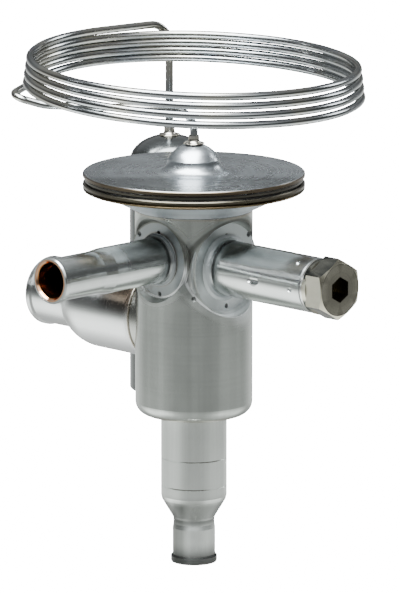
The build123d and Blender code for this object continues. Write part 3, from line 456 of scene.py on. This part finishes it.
def shell_steel():
    """Turned body: two flats, a painted highlight, painted shade on the saddle and beside two ports' roots,
    a crust, tinted joints, and punch marks painted dark as shade.
    """
    m = Metal("shell_steel", (0.505, 0.53, 0.505), 0.22)
    m.rings(0.14, tone=0.02)
    m.streaks()
    m.hairlines(2.0, 8.0)
    flat_pad(m, STEM_CENTRE, ALONG_X, STEM_PAD, STEM_FLAT_LIT_TONE)
    flat_pad(m, EQUALIZER_CENTRE, TO_EQUALIZER, EQUALIZER_PAD, EQUALIZER_FLAT_SHADED_TONE)
    # Painted highlight: a near-white patch on the stem's side of the body, also made rougher.
    highlight_spot = (STEM_FACE * MM, 4.0 * MM, STEM_Z - 10.0 * MM)
    painted_highlight = m.times(m.within(highlight_spot, 6.0 * MM, 3.0 * MM), m.span(m.facing(ALONG_X), 0.2, 0.5))
    m.paint((0.92, 0.95, 0.96), painted_highlight, 0.8)
    m.roughen(painted_highlight, 0.25)
    # Painted shade on the saddle between the two flats.
    saddle = view_point(-2.0 * MM, -BODY_HIGH.x, 79 * MM)
    m.dim(m.within(saddle, 3.4 * MM, 2.0 * MM), 0.5)
    # Painted shade beside the stem's and the equalizer's roots.
    painted_root_shade(m, STEM_CENTRE, ALONG_X, 8.6 * MM, 1.3 * MM, 0.5, (0, -0.8, 0.6))
    painted_root_shade(m, EQUALIZER_CENTRE, TO_EQUALIZER, 7.0 * MM, 1.1 * MM, 0.55, (0.8, 0, 0.6))
    m.specks(380.0, 0.08, weight=0.35)
    port_tint(m, EQUALIZER_CENTRE, TO_EQUALIZER, 6.9 * MM, 0.9 * MM, 0.25)
    port_tint(m, OUTLET_CENTRE, TO_OUTLET, 12.8 * MM, 2.0 * MM, 0.35)
    crust_spot = Vector((-4.6 * MM, -EQUALIZER_FACE * MM, EQUALIZER_Z - 7.6 * MM))
    crumbs = m.span(m.noise(m.point, 1500.0, 4.0, 0.7), 0.40, 0.60)
    crust = m.times(m.within(crust_spot, 2.6 * MM, 0.8 * MM), crumbs)
    m.paint((0.20, 0.19, 0.17), crust, 0.6)
    m.height = m.minus(m.height, m.times(crust, 1.5))
    m.tint(m.minus(BODY_HIGH.z, m.run), -0.3 * MM, 1.0 * MM, 0.35)
    m.tint(m.minus(m.run, BODY_LOW.z), -0.2 * MM, 1.6 * MM, 0.45, 0.2)
    # Punch marks painted near black, as painted shade in their hollows.
    for mark in PUNCH_MARKS:
        m.paint((0.03, 0.03, 0.03), m.within(mark, 0.66 * MM, 0.12 * MM), 0.85)
    return m.done(SHELL_RELIEF)


def tube_steel(name, centre, axis, root, colour=(0.585, 0.61, 0.60), rough=0.19, burn=1.5, strength=0.2):
    """Drawn tube, tinted over burn mm at its root and rougher there."""
    m = Metal(name, colour, rough, centre, axis)
    m.drawn(0.08, 1.0, 0.02)
    m.hairlines(4.0, 10.0)
    m.specks(300.0, 0.05, weight=0.35)
    m.tint(m.minus(m.run, root), -0.4 * MM, burn * MM, strength)
    m.roughen(m.below(m.run, root + 0.5 * MM, root + 3 * MM), 0.16)
    return m


def blend_root(m, root, tone, reach, side, level):
    """Flared root: painted in the tone of the flat it stands on, with painted shade just beyond it on the
    side named.
    """
    flare = m.below(m.run, root + (reach - 0.9) * MM, root + reach * MM)
    m.paint(tone, flare, 0.9)
    m.roughen(flare, 0.12)
    # Painted shade in a line beyond the flare, on the side named.
    mark = m.line(m.run, root + (reach + 0.3) * MM, 0.2 * MM, 0.9 * MM)
    m.dim(m.times(mark, m.span(m.leaning((0, 0, level), side), 0.0, 4 * MM)), 0.75)


def equalizer_steel():
    """Equalizer tube, with painted shade on its upper side next to the body, where it is also rougher."""
    m = tube_steel("equalizer_steel", EQUALIZER_CENTRE, TO_EQUALIZER, EQUALIZER_ROOT)
    blend_root(m, EQUALIZER_ROOT, EQUALIZER_FLAT_SHADED_TONE, 1.5, (0.85, 0, 0.5), EQUALIZER_Z)
    top = m.span(m.toward(ALONG_Z), EQUALIZER_Z - 0.6 * MM, EQUALIZER_Z + 0.9 * MM)
    painted_shade_zone = m.times(top, m.below(m.run, EQUALIZER_ROOT + 15 * MM, EQUALIZER_ROOT + 19 * MM))
    # Painted shade on the upper side near the root.
    m.dim(painted_shade_zone, 0.55)
    m.roughen(painted_shade_zone, 0.12)
    return m.done(TUBE_RELIEF)


def housing_steel():
    """Stem housing, with painted shade on top and in the lower half of its staked slot."""
    m = tube_steel("housing_steel", STEM_CENTRE, ALONG_X, HOUSING_ROOT, burn=0.8, strength=0.1)
    blend_root(m, HOUSING_ROOT, STEM_FLAT_LIT_TONE, 2.0, (0, -0.6, 0.8), STEM_Z)
    height = m.toward(ALONG_Z)
    # Painted shade on top.
    m.shade(m.span(height, STEM_Z + 1.2 * MM, STEM_Z + 2.8 * MM, 1.0, 0.78))
    # Painted shade in the lower half of the staked slot.
    slot = m.within((29.6 * MM, -8.0 * MM, STEM_Z), 1.75 * MM, 0.3 * MM)
    low = m.below(height, STEM_Z - 0.2 * MM, STEM_Z + 0.3 * MM)
    m.paint((0.09, 0.095, 0.095), slot, low, 0.75)
    return m.done(TUBE_RELIEF)


def inlet_steel():
    """Inlet tube: scored twice, with painted shade in the scores, in patches on the necked-down taper and on
    its left side, and towards its lip and mouth.
    """
    root = (0, 0, BODY_LOW.z)
    m = tube_steel("inlet_steel", root, TO_INLET, 0.0, (0.84, 0.875, 0.84), 0.31, 1.6, 0.35)
    # Both scores painted dark on the side towards the front, as painted shade in the grooves.
    for groove, side in ((12.0 * MM, 0.25), (19.7 * MM, -0.2)):
        score_shade = m.line(m.run, groove, 0.08 * MM, 0.22 * MM)
        towards_view = m.facing(view_point(side, -1, 0).normalized())
        m.paint((0.16, 0.16, 0.14), score_shade, m.span(towards_view, 0.70, 0.92))
    height = m.toward(ALONG_Z)
    # Painted shade in patches over the necked-down taper.
    neck = m.times(m.span(height, NECK_Z - 1.6 * MM, NECK_Z + 0.2 * MM),
                   m.below(height, NECK_Z + 4.6 * MM, NECK_Z + 8.4 * MM))
    m.streaks(0.03)
    m.dim(neck, m.span(m.patches, 0.3, 0.7, 0.50, 0.68))
    # Painted shade, darker towards the bottom of the tube.
    m.shade(m.span(height, 0.9 * MM, 6.5 * MM, 0.16, 1.0))
    # Painted shade on the upward-facing flare near the lip, which is made rougher as well.
    lip = m.times(m.below(height, 3.2 * MM, 4.4 * MM), m.span(m.facing(ALONG_Z), 0.10, 0.35))
    m.dim(lip, 0.80)
    m.roughen(lip, 0.35)
    m.roughen(m.below(height, NECK_Z + 0.5 * MM, NECK_Z + 2.0 * MM), 0.10)
    # Painted shade on the left side of the taper.
    left = m.toward(view_point(-1, 0, 0))
    painted_shade_zone = m.times(m.span(left, 1.0 * MM, 3.6 * MM), m.span(left, 5.0 * MM, 6.6 * MM, 1.0, 0.25),
                   m.below(height, NECK_Z + 4.5 * MM, NECK_Z + 8.0 * MM))
    m.dim(painted_shade_zone, 0.62)
    return m.done(TUBE_RELIEF)


def outlet_steel():
    """Outlet cup, with a painted highlight underneath, and painted shade on its upper side next to the weld,
    browned there in patches.
    """
    colour = (0.62, 0.64, 0.635)
    m = tube_steel("outlet_steel", OUTLET_CENTRE, TO_OUTLET, OUTLET_ROOT, colour, 0.20, 0.8)
    height = m.toward(ALONG_Z)
    # Painted highlight: near white underneath, also made rougher.
    underside_highlight = m.below(height, OUTLET_Z - 9 * MM, OUTLET_Z - 3 * MM)
    m.paint((0.96, 0.97, 0.98), underside_highlight, 0.85)
    m.roughen(underside_highlight, 0.22)
    # Painted shade on the upper side next to the weld.
    top = m.span(height, OUTLET_Z - 1 * MM, OUTLET_Z + 5 * MM)
    near = m.below(m.run, OUTLET_ROOT, OUTLET_ROOT + 17 * MM)
    m.dim(m.times(top, m.span(near, 0.0, 0.4)), 0.78)
    m.paint(BROWN_OXIDE, top, near, m.span(m.patches, 0.3, 0.7, 0.15, 0.5))
    return m.done(TUBE_RELIEF)


# ---------------------------------------------------------------- element, bulb, cap and the rest
def cover_steel():
    """Plate and cone of the element: turned face, painted shade in front of the dome, a bevel painted ivory
    as a highlight, brown edge, dark flange and seam, and the cone's underside painted lighter.
    """
    m = Metal("cover_steel", (0.44, 0.47, 0.495), 0.28)
    m.turned_face(0.6, 1.2)
    for ring in (17.5, 23.0, 26.4):
        trace = m.line(m.out, ring * MM, 0.0, 0.35 * MM)
        m.brighten(trace, m.span(m.patches, 0.42, 0.62, 0.0, 0.22))
    m.specks(300.0, 0.07, weight=0.4)
    # Painted shade on the plate's top in front of the dome.
    before = m.span(m.toward(view_point(0, -1, 0)), 6 * MM, 12 * MM)
    m.dim(m.times(before, m.span(m.facing(ALONG_Z), 0.5, 0.9)), 0.45)
    inward = m.minus(RIM_RADIUS, m.out)
    m.tint(inward, -0.8 * MM, 0.5 * MM, 0.3, 0.3)
    # Painted highlight: the bevel painted ivory.
    bevel = m.times(m.below(inward, 0.45 * MM, 0.75 * MM),
                    m.span(m.run, PLATE_HIGH.z - 0.75 * MM, PLATE_HIGH.z - 0.60 * MM))
    m.paint((0.90, 0.86, 0.72), bevel, 0.85)
    m.roughen(bevel, -0.08)
    edge = m.times(m.below(inward, 0.12 * MM, 0.28 * MM), m.minus(1.0, bevel))
    m.paint((0.095, 0.070, 0.042), edge, 0.95)
    flange = m.times(m.below(m.run, RIM_HIGH.z + 0.1 * MM, RIM_HIGH.z + 0.4 * MM),
                     m.below(inward, 1.2 * MM, 1.7 * MM))
    m.paint((0.10, 0.092, 0.070), flange, 0.95)
    seam = m.times(flange, m.below(m.run, RIM_BASE + 0.35 * MM, RIM_BASE + 0.5 * MM))
    m.paint((0.030, 0.024, 0.010), seam, 0.9)
    # Painted light: the cone's underside brightened.
    cone = m.times(m.minus(1.0, flange), m.below(m.run, RIM_BASE, RIM_BASE + 0.3 * MM))
    m.brighten(cone, 0.9)
    m.roughen(cone, 0.24)
    return m.done(SHELL_RELIEF)


def plain_metal(name, colour, rough, finish="rings", strength=0.5, centre=(0, 0, 0), axis=ALONG_Z,
                depth=0.008, burnt_at=None):
    """Metal with one kind of grain, tinted by heat near a joint if one is named."""
    m = Metal(name, colour, rough, centre, axis)
    grain = {"rings": m.rings, "drawn": m.drawn, "turned": m.turned_face}[finish]
    grain(strength)
    if burnt_at:
        m.tint(m.near(burnt_at), 0.0, 3 * MM, 0.3)
    return m.done(depth)


def capillary_steel():
    """Drawn fine tube, with painted shade on top and in a band a little above its middle, so it stays light
    underneath.
    """
    m = Metal("capillary_steel", (0.60, 0.63, 0.65), 0.16, spread=0.02)
    tilt = m.facing(ALONG_Z)
    # Painted shade on top and in a band a little above the middle.
    m.shade(m.span(tilt, 0.30, 0.80, 1.0, 0.35))
    m.shade(m.span(m.off(tilt, 0.08), 0.12, 0.42, 0.42, 1.0))
    m.paint((0.46, 0.42, 0.33), m.span(m.patches, 0.45, 0.62, 0.0, 0.45))
    m.tint(m.near(PLATE_CENTRE), 0.0, 3 * MM, 0.4)
    m.height = m.times(m.cloud, 0.02)
    return m.done(0.0005)


def cap_nickel():
    """Plated cap: turned end, flats painted dark as shade, two upright flats painted bright as highlights, a
    painted highlight on the chamfer and painted shade in the socket.
    """
    m = Metal("cap_nickel", (0.21, 0.20, 0.165), 0.19, STEM_CENTRE, ALONG_X)
    m.turned_face(0.5, 2.2)
    m.specks(500.0, 0.10, (0.10, 0.09, 0.07), 0.4)
    outside = m.times(m.span(m.run, CAP_LOW.x + 1.5 * MM, CAP_LOW.x + 1.9 * MM),
                      m.span(m.out, 5.0 * MM, 5.6 * MM))
    forward = m.facing(ALONG_X)
    flat = m.times(outside, m.below(forward, 0.10, 0.25))
    upright = m.span(m.math("ABSOLUTE", m.facing(ALONG_Y)), 0.90, 0.97)
    lit_flat_share = m.times(upright, 0.9)
    # Painted shade on the flats, and painted highlights on the two upright flats.
    m.paint((0.045, 0.052, 0.048), flat, m.minus(0.9, lit_flat_share))
    m.paint((0.66, 0.64, 0.53), flat, lit_flat_share)
    m.roughen(m.times(flat, upright), 0.16)
    # Painted highlight on the chamfer.
    chamfer_highlight = m.times(m.span(forward, 0.3, 0.4), m.below(forward, 0.90, 0.97))
    m.paint((0.88, 0.84, 0.66), chamfer_highlight, outside, 0.7)
    # Painted shade in the hex socket.
    hollow = m.times(m.below(m.out, 4.4 * MM, 4.9 * MM),
                     m.below(m.run, CAP_HIGH.x - 1.6 * MM, CAP_HIGH.x - 0.1 * MM))
    m.paint((0.10, 0.085, 0.045), hollow, 0.85)
    ring = m.line(m.out, 6.9 * MM, 0.08 * MM, 0.25 * MM)
    m.dim(m.times(ring, m.span(forward, 0.95, 0.99)), 0.35)
    m.worn(0.3, (0.80, 0.77, 0.66))
    return m.done(SHELL_RELIEF)


def copper_lining(name, centre, axis, mouth):
    """Copper sleeve in a socket: pale at its mouth, with painted shade darkening it inwards."""
    m = Metal(name, (0.70, 0.33, 0.13), 0.16, centre, axis)
    m.rings(0.3, 1.8)
    m.paint((0.80, 0.52, 0.37), m.span(m.run, mouth - 0.5 * MM, mouth - 0.1 * MM), 0.8)
    # Painted shade, darkening the sleeve inwards from its mouth.
    m.paint((0.10, 0.035, 0.015), m.span(m.run, mouth - 7 * MM, mouth - 1.5 * MM, 0.92, 0.0))
    m.roughen(m.span(m.run, mouth - 1.0 * MM, mouth - 0.4 * MM), -0.05)
    m.specks(500.0, 0.10, (0.20, 0.08, 0.04), 0.4)
    return m.done(0.010)


def seal_rubber():
    m = Metal("seal_rubber", (0.030, 0.030, 0.032), 0.55)
    m.shader.inputs["Metallic"].default_value = 0.0
    m.shader.inputs["Specular IOR Level"].default_value = 0.35
    m.specks(900.0, 0.2, (0.07, 0.07, 0.07))
    return m.done(0.02)


def strainer_mesh():
    """Woven wire: two sets of fine waves crossing."""
    m = Metal("strainer_mesh", (0.50, 0.50, 0.49), 0.32)
    split = m.add("ShaderNodeSeparateXYZ")
    m.link(m.point, split.inputs[0])
    x, y, z = split.outputs
    warp = m.math("SINE", m.times(m.math("ARCTAN2", y, x), 60.0))
    weft = m.math("SINE", m.times(z, 9000.0))
    weave = m.math("MAXIMUM", warp, weft)
    m.shade(m.span(weave, 0.0, 0.8, 0.25, 1.05))
    m.height = m.plus(m.height, weave)
    return m.done(0.08)


def bead_metal(name, colour, rough, tinge, tinge_weight):
    """Weld metal, tinged in patches."""
    m = Metal(name, colour, rough, spread=0.18)
    m.paint(tinge, m.span(m.patches, 0.35, 0.7), tinge_weight)
    m.specks(600.0, 0.15)
    return m.done(0.03)


# ---------------------------------------------------------------- finishes on the CAD nodes
COVER = cover_steel()
HARD = plain_metal("hard_steel", (0.55, 0.56, 0.58), 0.18)
BRASS = plain_metal("machined_brass", (0.72, 0.52, 0.24), 0.24, "turned")
SPRING = plain_metal("spring_steel", (0.50, 0.51, 0.53), 0.22, "drawn")
RUBBER = seal_rubber()
FERRULE = (0.46, 0.44, 0.40)
FINISHES = {
    "valve_body": shell_steel(),
    "inlet_connector": inlet_steel(),
    "equalizer_connector": equalizer_steel(),
    "outlet_connector": outlet_steel(),
    "stem_housing": housing_steel(),
    "inlet_liner": copper_lining("inlet_copper", (0, 0, 0), TO_INLET, 0.0),
    "equalizer_liner": copper_lining("equalizer_copper", EQUALIZER_CENTRE, TO_EQUALIZER, EQUALIZER_MOUTH),
    "outlet_liner": copper_lining("outlet_copper", OUTLET_CENTRE, TO_OUTLET, OUTLET_MOUTH),
    "lower_cover": COVER,
    "upper_cover": COVER,
    "clamp_ring": plain_metal("ring_steel", (0.085, 0.08, 0.068), 0.38, strength=0.4),
    "diaphragm": HARD,
    "capillary_tube": capillary_steel(),
    "element_ferrule": plain_metal("ferrule_steel", FERRULE, 0.16, burnt_at=PLATE_CENTRE),
    "bulb_ferrule": plain_metal("bulb_ferrule_steel", FERRULE, 0.16, burnt_at=BULB_TOP),
    # The bulb's steel is painted far darker than the rest, as painted shade behind the body.
    "sensing_bulb": plain_metal("bulb_steel", (0.17, 0.18, 0.18), 0.19, "rings", 0.3, BULB_TOP, depth=0.004),
    "adjusting_stem": HARD,
    "gland_bush": BRASS,
    "stem_seal_ring": RUBBER,
    "retaining_clip": SPRING,
    "cap_gasket": plain_metal("gasket_metal", (0.70, 0.70, 0.68), 0.20, centre=STEM_CENTRE, axis=ALONG_X),
    "sealing_cap": cap_nickel(),
    "guide_block": BRASS,
    "rod_seal": RUBBER,
    "rod_seal_cup": HARD,
    "crown_gear": BRASS,
    "spring_carrier": BRASS,
    "superheat_spring": SPRING,
    "thrust_pad": HARD,
    "push_rod": HARD,
    "seat_block": BRASS,
    "orifice_ring": HARD,
    "valve_cone": HARD,
    "inlet_strainer": strainer_mesh(),
    "strainer_ring": SPRING,
}
for node in frame["nodes"]:
    assert node in FINISHES, node
for node, material in FINISHES.items():
    data = frame["nodes"][node].data
    data.materials.clear()
    data.materials.append(material)


def spring_coils():
    """The spring once more, as a separate piece copied from the part, with the part itself hidden."""
    coils = bpy.data.objects.new("spring_coils", frame["nodes"]["superheat_spring"].data.copy())
    bpy.context.scene.collection.objects.link(coils)
    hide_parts("superheat_spring")
    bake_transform(coils)


spring_coils()


# ---------------------------------------------------------------- weld beads and the rolled edge
def add_mesh(name, mesh):
    """Turn a finished bmesh into an object of the scene."""
    data = bpy.data.meshes.new(name)
    mesh.to_mesh(data)
    mesh.free()
    thing = bpy.data.objects.new(name, data)
    bpy.context.scene.collection.objects.link(thing)
    return thing


def add_rings(name, mesh, rings, turn, material):
    """Close rings of points into one hoop that stays with the valve."""
    for a, b in zip(rings, rings[1:] + rings[:1]):
        for j in range(len(a)):
            k = (j + 1) % len(a)
            mesh.faces.new((a[j], b[j], b[k], a[k])).smooth = True
    mesh.transform(turn)
    bmesh.ops.recalc_face_normals(mesh, faces=mesh.faces)
    thing = add_mesh(name, mesh)
    thing.data.materials.append(material)
    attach(thing, "valve")


BEAD_AROUND, BEAD_ABOUT = 220, 10
BEAD_FLATNESS = 0.62
BEAD_CREST = 0.14
BEAD_WAVES = (2, 3, 5, 7, 11)
MOST_SWELL = 3.2


def bead(name, centre, axis, radius, section, slot, material, seed, wobble=0.12, ripples=0):
    """Irregular ring of weld metal round an axis, with the overlapping ripples of a hand weld."""
    draw = random.Random(seed)
    waves = [(k, draw.uniform(0, 2 * math.pi), draw.uniform(0.3, 1.0)) for k in BEAD_WAVES]
    mesh = bmesh.new()
    rings = []
    for i in range(BEAD_AROUND):
        angle = 2 * math.pi * i / BEAD_AROUND
        swell = sum(share * math.sin(k * angle + phase) for k, phase, share in waves) / MOST_SWELL
        crest = abs(math.sin(ripples * angle / 2 + 0.8 * swell))
        thick = section * (1 + wobble * swell) * (1 - BEAD_CREST + BEAD_CREST * crest)
        ring = []
        for j in range(BEAD_ABOUT):
            tip = 2 * math.pi * j / BEAD_ABOUT
            out = radius + section * swell * wobble + thick * math.cos(tip)
            up = thick * BEAD_FLATNESS * math.sin(tip)
            ring.append(mesh.verts.new((out * math.cos(angle), out * math.sin(angle), up)))
        rings.append(ring)
    turn = Vector(ALONG_Z).rotation_difference(Vector(axis)).to_matrix().to_4x4()
    add_rings(name, mesh, rings, Matrix.Translation(Vector(centre)) @ turn, material)


def lathe(name, outline, material, around=240):
    """Ring turned about the body's axis from a closed outline of radius and height."""
    mesh = bmesh.new()
    rings = []
    for i in range(around):
        angle = 2 * math.pi * i / around
        c, s = math.cos(angle), math.sin(angle)
        rings.append([mesh.verts.new((r * c, r * s, z)) for r, z in outline])
    add_rings(name, mesh, rings, Matrix.Identity(4), material)


WELD = bead_metal("weld_steel", (0.30, 0.32, 0.33), 0.40, STRAW_OXIDE, 0.12)
BROWN_WELD = bead_metal("brown_weld", (0.66, 0.62, 0.55), 0.28, BROWN_OXIDE, 0.35)
DULL_WELD = bead_metal("dull_weld", (0.28, 0.25, 0.20), 0.48, BROWN_OXIDE, 0.35)
BRAZE = bead_metal("braze_silver", (0.62, 0.58, 0.50), 0.12, STRAW_OXIDE, 0.3)
CAPILLARY_BRAZE = dict(axis=ALONG_Z, radius=2.55 * MM, section=0.36 * MM, material=BRAZE,
                       wobble=0.4, ripples=4)
bead("equalizer_weld", (0, EQUALIZER_HIGH.y - 0.15 * MM, EQUALIZER_Z), TO_EQUALIZER,
     6.95 * MM, 0.26 * MM, "shell_steel", WELD, 5, wobble=0.2)
bead("outlet_weld", (OUTLET_HIGH.x - 0.1 * MM, 0, OUTLET_Z), TO_OUTLET,
     12.85 * MM, 0.42 * MM, "shell_steel", BROWN_WELD, 8)
bead("inlet_weld", (0, 0, BODY_LOW.z - 0.05 * MM), TO_INLET,
     9.05 * MM, 0.28 * MM, "shell_steel", DULL_WELD, 11)
bead("element_weld", (0, 0, BODY_HIGH.z + 0.05 * MM), ALONG_Z,
     16.0 * MM, 0.24 * MM, "cover_steel", WELD, 14)
bead("dome_braze", (0, 0, PLATE_HIGH.z + 0.1 * MM), slot="cover_steel", seed=17, **CAPILLARY_BRAZE)
bead("bulb_braze", BULB_TOP, slot="bulb_steel", seed=19, **CAPILLARY_BRAZE)

# Section of the edge rolled round the element: radius and height over the rim's base, mm
EDGE_SECTION = (
    (28.3, 0.1), (29.3, 0.1), (29.35, -0.05), (29.6, -0.12), (29.85, -0.2), (29.95, -0.38),
    (29.85, -0.62), (29.5, -0.78), (28.6, -0.84), (27.4, -0.86), (27.2, -0.5),
)
EDGE = plain_metal("rolled_edge", (0.13, 0.10, 0.06), 0.34, strength=0.4)
lathe("rolled_edge", [(r * MM, RIM_BASE + z * MM) for r, z in EDGE_SECTION], EDGE)


# ---------------------------------------------------------------- stage
WHITE = 20.0
PAPER_DROP = 0.4 * MM

# Grey levels round the valve, as (height of the direction, level); -1 is straight down
SIDE_LEVELS = (
    (-1, 0.6), (-0.80, 1.6), (-0.68, 3.0), (-0.50, 3.2), (-0.34, 2.4), (-0.26, 1.1), (-0.20, 0.50),
    (-0.10, 0.26), (0.0, 0.13), (0.30, 0.12), (0.50, 0.19), (0.70, 0.32), (0.85, 0.5), (1, 0.8),
)
BACK_LEVELS = (
    (-1, 0.6), (-0.6, 0.55), (-0.40, 0.7), (-0.22, 1.25), (-0.06, 0.8), (0.03, 0.26), (0.2, 0.17),
    (0.42, 0.5), (0.7, 0.5), (1, 0.8),
)
FRONT_LEVELS = (
    (-1, 0.7), (-0.6, 0.8), (-0.40, 0.7), (-0.27, 0.50), (-0.19, 0.47), (-0.08, 0.25), (0.0, 0.12),
    (0.26, 0.12), (0.42, 1.6), (0.6, 2.6), (0.8, 2.0), (1, 0.8),
)
LEAST_PART = 0.05


def add_floor():
    """Wide pale floor that the valve stands on; it shows as plain white, as a bright table does."""
    mesh = bmesh.new()
    bmesh.ops.create_grid(mesh, x_segments=24, y_segments=24, size=9.0)
    floor = add_mesh("floor", mesh)
    floor.location = (0, 0, -PAPER_DROP)
    material, shader = new_material("floor_paper")
    n = Nodes(material.node_tree)
    tone = n.mix(n.noise(n.place(), 3.0), (0.90, 0.90, 0.90), (0.94, 0.94, 0.94))
    n.link(tone, shader.inputs["Base Color"])
    shader.inputs["Roughness"].default_value = 0.9
    n.link(tone, shader.inputs["Emission Color"])
    shader.inputs["Emission Strength"].default_value = WHITE
    floor.data.materials.append(material)
    floor.visible_glossy = False
    floor.visible_diffuse = False


def level_at(n, up, levels):
    """Grey level by the height of the direction."""
    share = n.math("DIVIDE", n.minus(up, -1), 2, clamp=True)
    peak = max(level for _, level in levels)
    band = n.ramp(share, [((height + 1) / 2, (level / peak,) * 3) for height, level in levels])
    grey = n.add("ShaderNodeRGBToBW")
    n.link(band, grey.inputs[0])
    return n.times(grey.outputs[0], peak)


def panel(n, x, y, x_range, y_range, soft):
    """1 inside a soft-edged oblong of two values, for a light panel."""
    sides = [n.times(n.span(value, low - soft, low + soft), n.below(value, high - soft, high + soft))
             for value, (low, high) in ((x, x_range), (y, y_range))]
    return n.times(*sides)


def room_level(n, across, away, up):
    """Brightness of the room by direction: walls, the right-hand side and two light panels."""
    side, back, front = (level_at(n, up, levels) for levels in (SIDE_LEVELS, BACK_LEVELS, FRONT_LEVELS))
    flat_part = n.math("SQRT", n.minus(1.0, n.times(up, up), clamp=True))
    behind = n.math("DIVIDE", away, n.math("MAXIMUM", flat_part, LEAST_PART))
    level = n.between(side, back, n.span(behind, 0.30, 0.85))
    level = n.between(level, front, n.below(behind, -0.95, -0.35))
    right = n.span(across, 0.30, 0.85)
    table_right = n.times(right, n.below(up, -0.30, -0.22))
    wall_right = n.times(right, n.times(n.span(up, -0.30, -0.22), n.below(up, -0.12, -0.02)))
    loss = n.minus(n.times(wall_right, -0.15), n.times(table_right, 0.4))
    level = n.times(level, n.plus(1.0, loss))
    over = n.math("DIVIDE", 1.0, n.math("MAXIMUM", up, LEAST_PART))
    ceiling = panel(n, n.times(across, over), n.times(away, over), (-0.75, 0.30), (-0.95, 0.16), 0.10)
    level = n.plus(level, n.times(ceiling, 24.0))
    aside = n.math("DIVIDE", away, n.math("MAXIMUM", across, LEAST_PART))
    wall = panel(n, aside, up, (0.44, 0.90), (0.28, 0.56), 0.06)
    return n.plus(level, n.times(wall, 9.0))


def add_world():
    """Studio round the object, by direction, with a plain white backdrop for the camera."""
    world = bpy.context.scene.world or bpy.data.worlds.new("world")
    bpy.context.scene.world = world
    world.use_nodes = True
    n = Nodes(world.node_tree)
    direction = n.vector("NORMALIZE", n.add("ShaderNodeTexCoord").outputs["Generated"])
    across, away, up = (n.vector("DOT_PRODUCT", direction, tuple(part))
                        for part in (view_point(1, 0, 0), view_point(0, 1, 0), ALONG_Z))
    studio = world.node_tree.nodes["Background"]
    cool = n.mix(n.span(up, -0.3, 0.4), (0.97, 1.0, 0.975), (0.95, 0.985, 1.0))
    n.link(cool, studio.inputs["Color"])
    n.link(room_level(n, across, away, up), studio.inputs["Strength"])
    backdrop = n.add("ShaderNodeBackground")
    backdrop.inputs["Color"].default_value = (1, 1, 1, 1)
    backdrop.inputs["Strength"].default_value = WHITE
    mix = n.add("ShaderNodeMixShader")
    seen = n.add("ShaderNodeLightPath").outputs["Is Camera Ray"]
    for out, into in zip((seen, studio.outputs[0], backdrop.outputs[0]), mix.inputs):
        n.link(out, into)
    n.link(mix.outputs[0], world.node_tree.nodes["World Output"].inputs["Surface"])


def add_light(name, across, away, height, size, watts):
    """Square lamp turned to the valve's middle."""
    data = bpy.data.lights.new(name, "AREA")
    data.shape = "SQUARE"
    data.size = size
    data.energy = watts
    light = bpy.data.objects.new(name, data)
    light.location = view_point(across, away, height)
    aim(light, Vector((0, 0, TARGET_HEIGHT)))
    bpy.context.scene.collection.objects.link(light)


add_camera()
add_floor()
add_world()
add_light("softbox", -0.4, -0.6, 2.0, 1.6, 3.0)
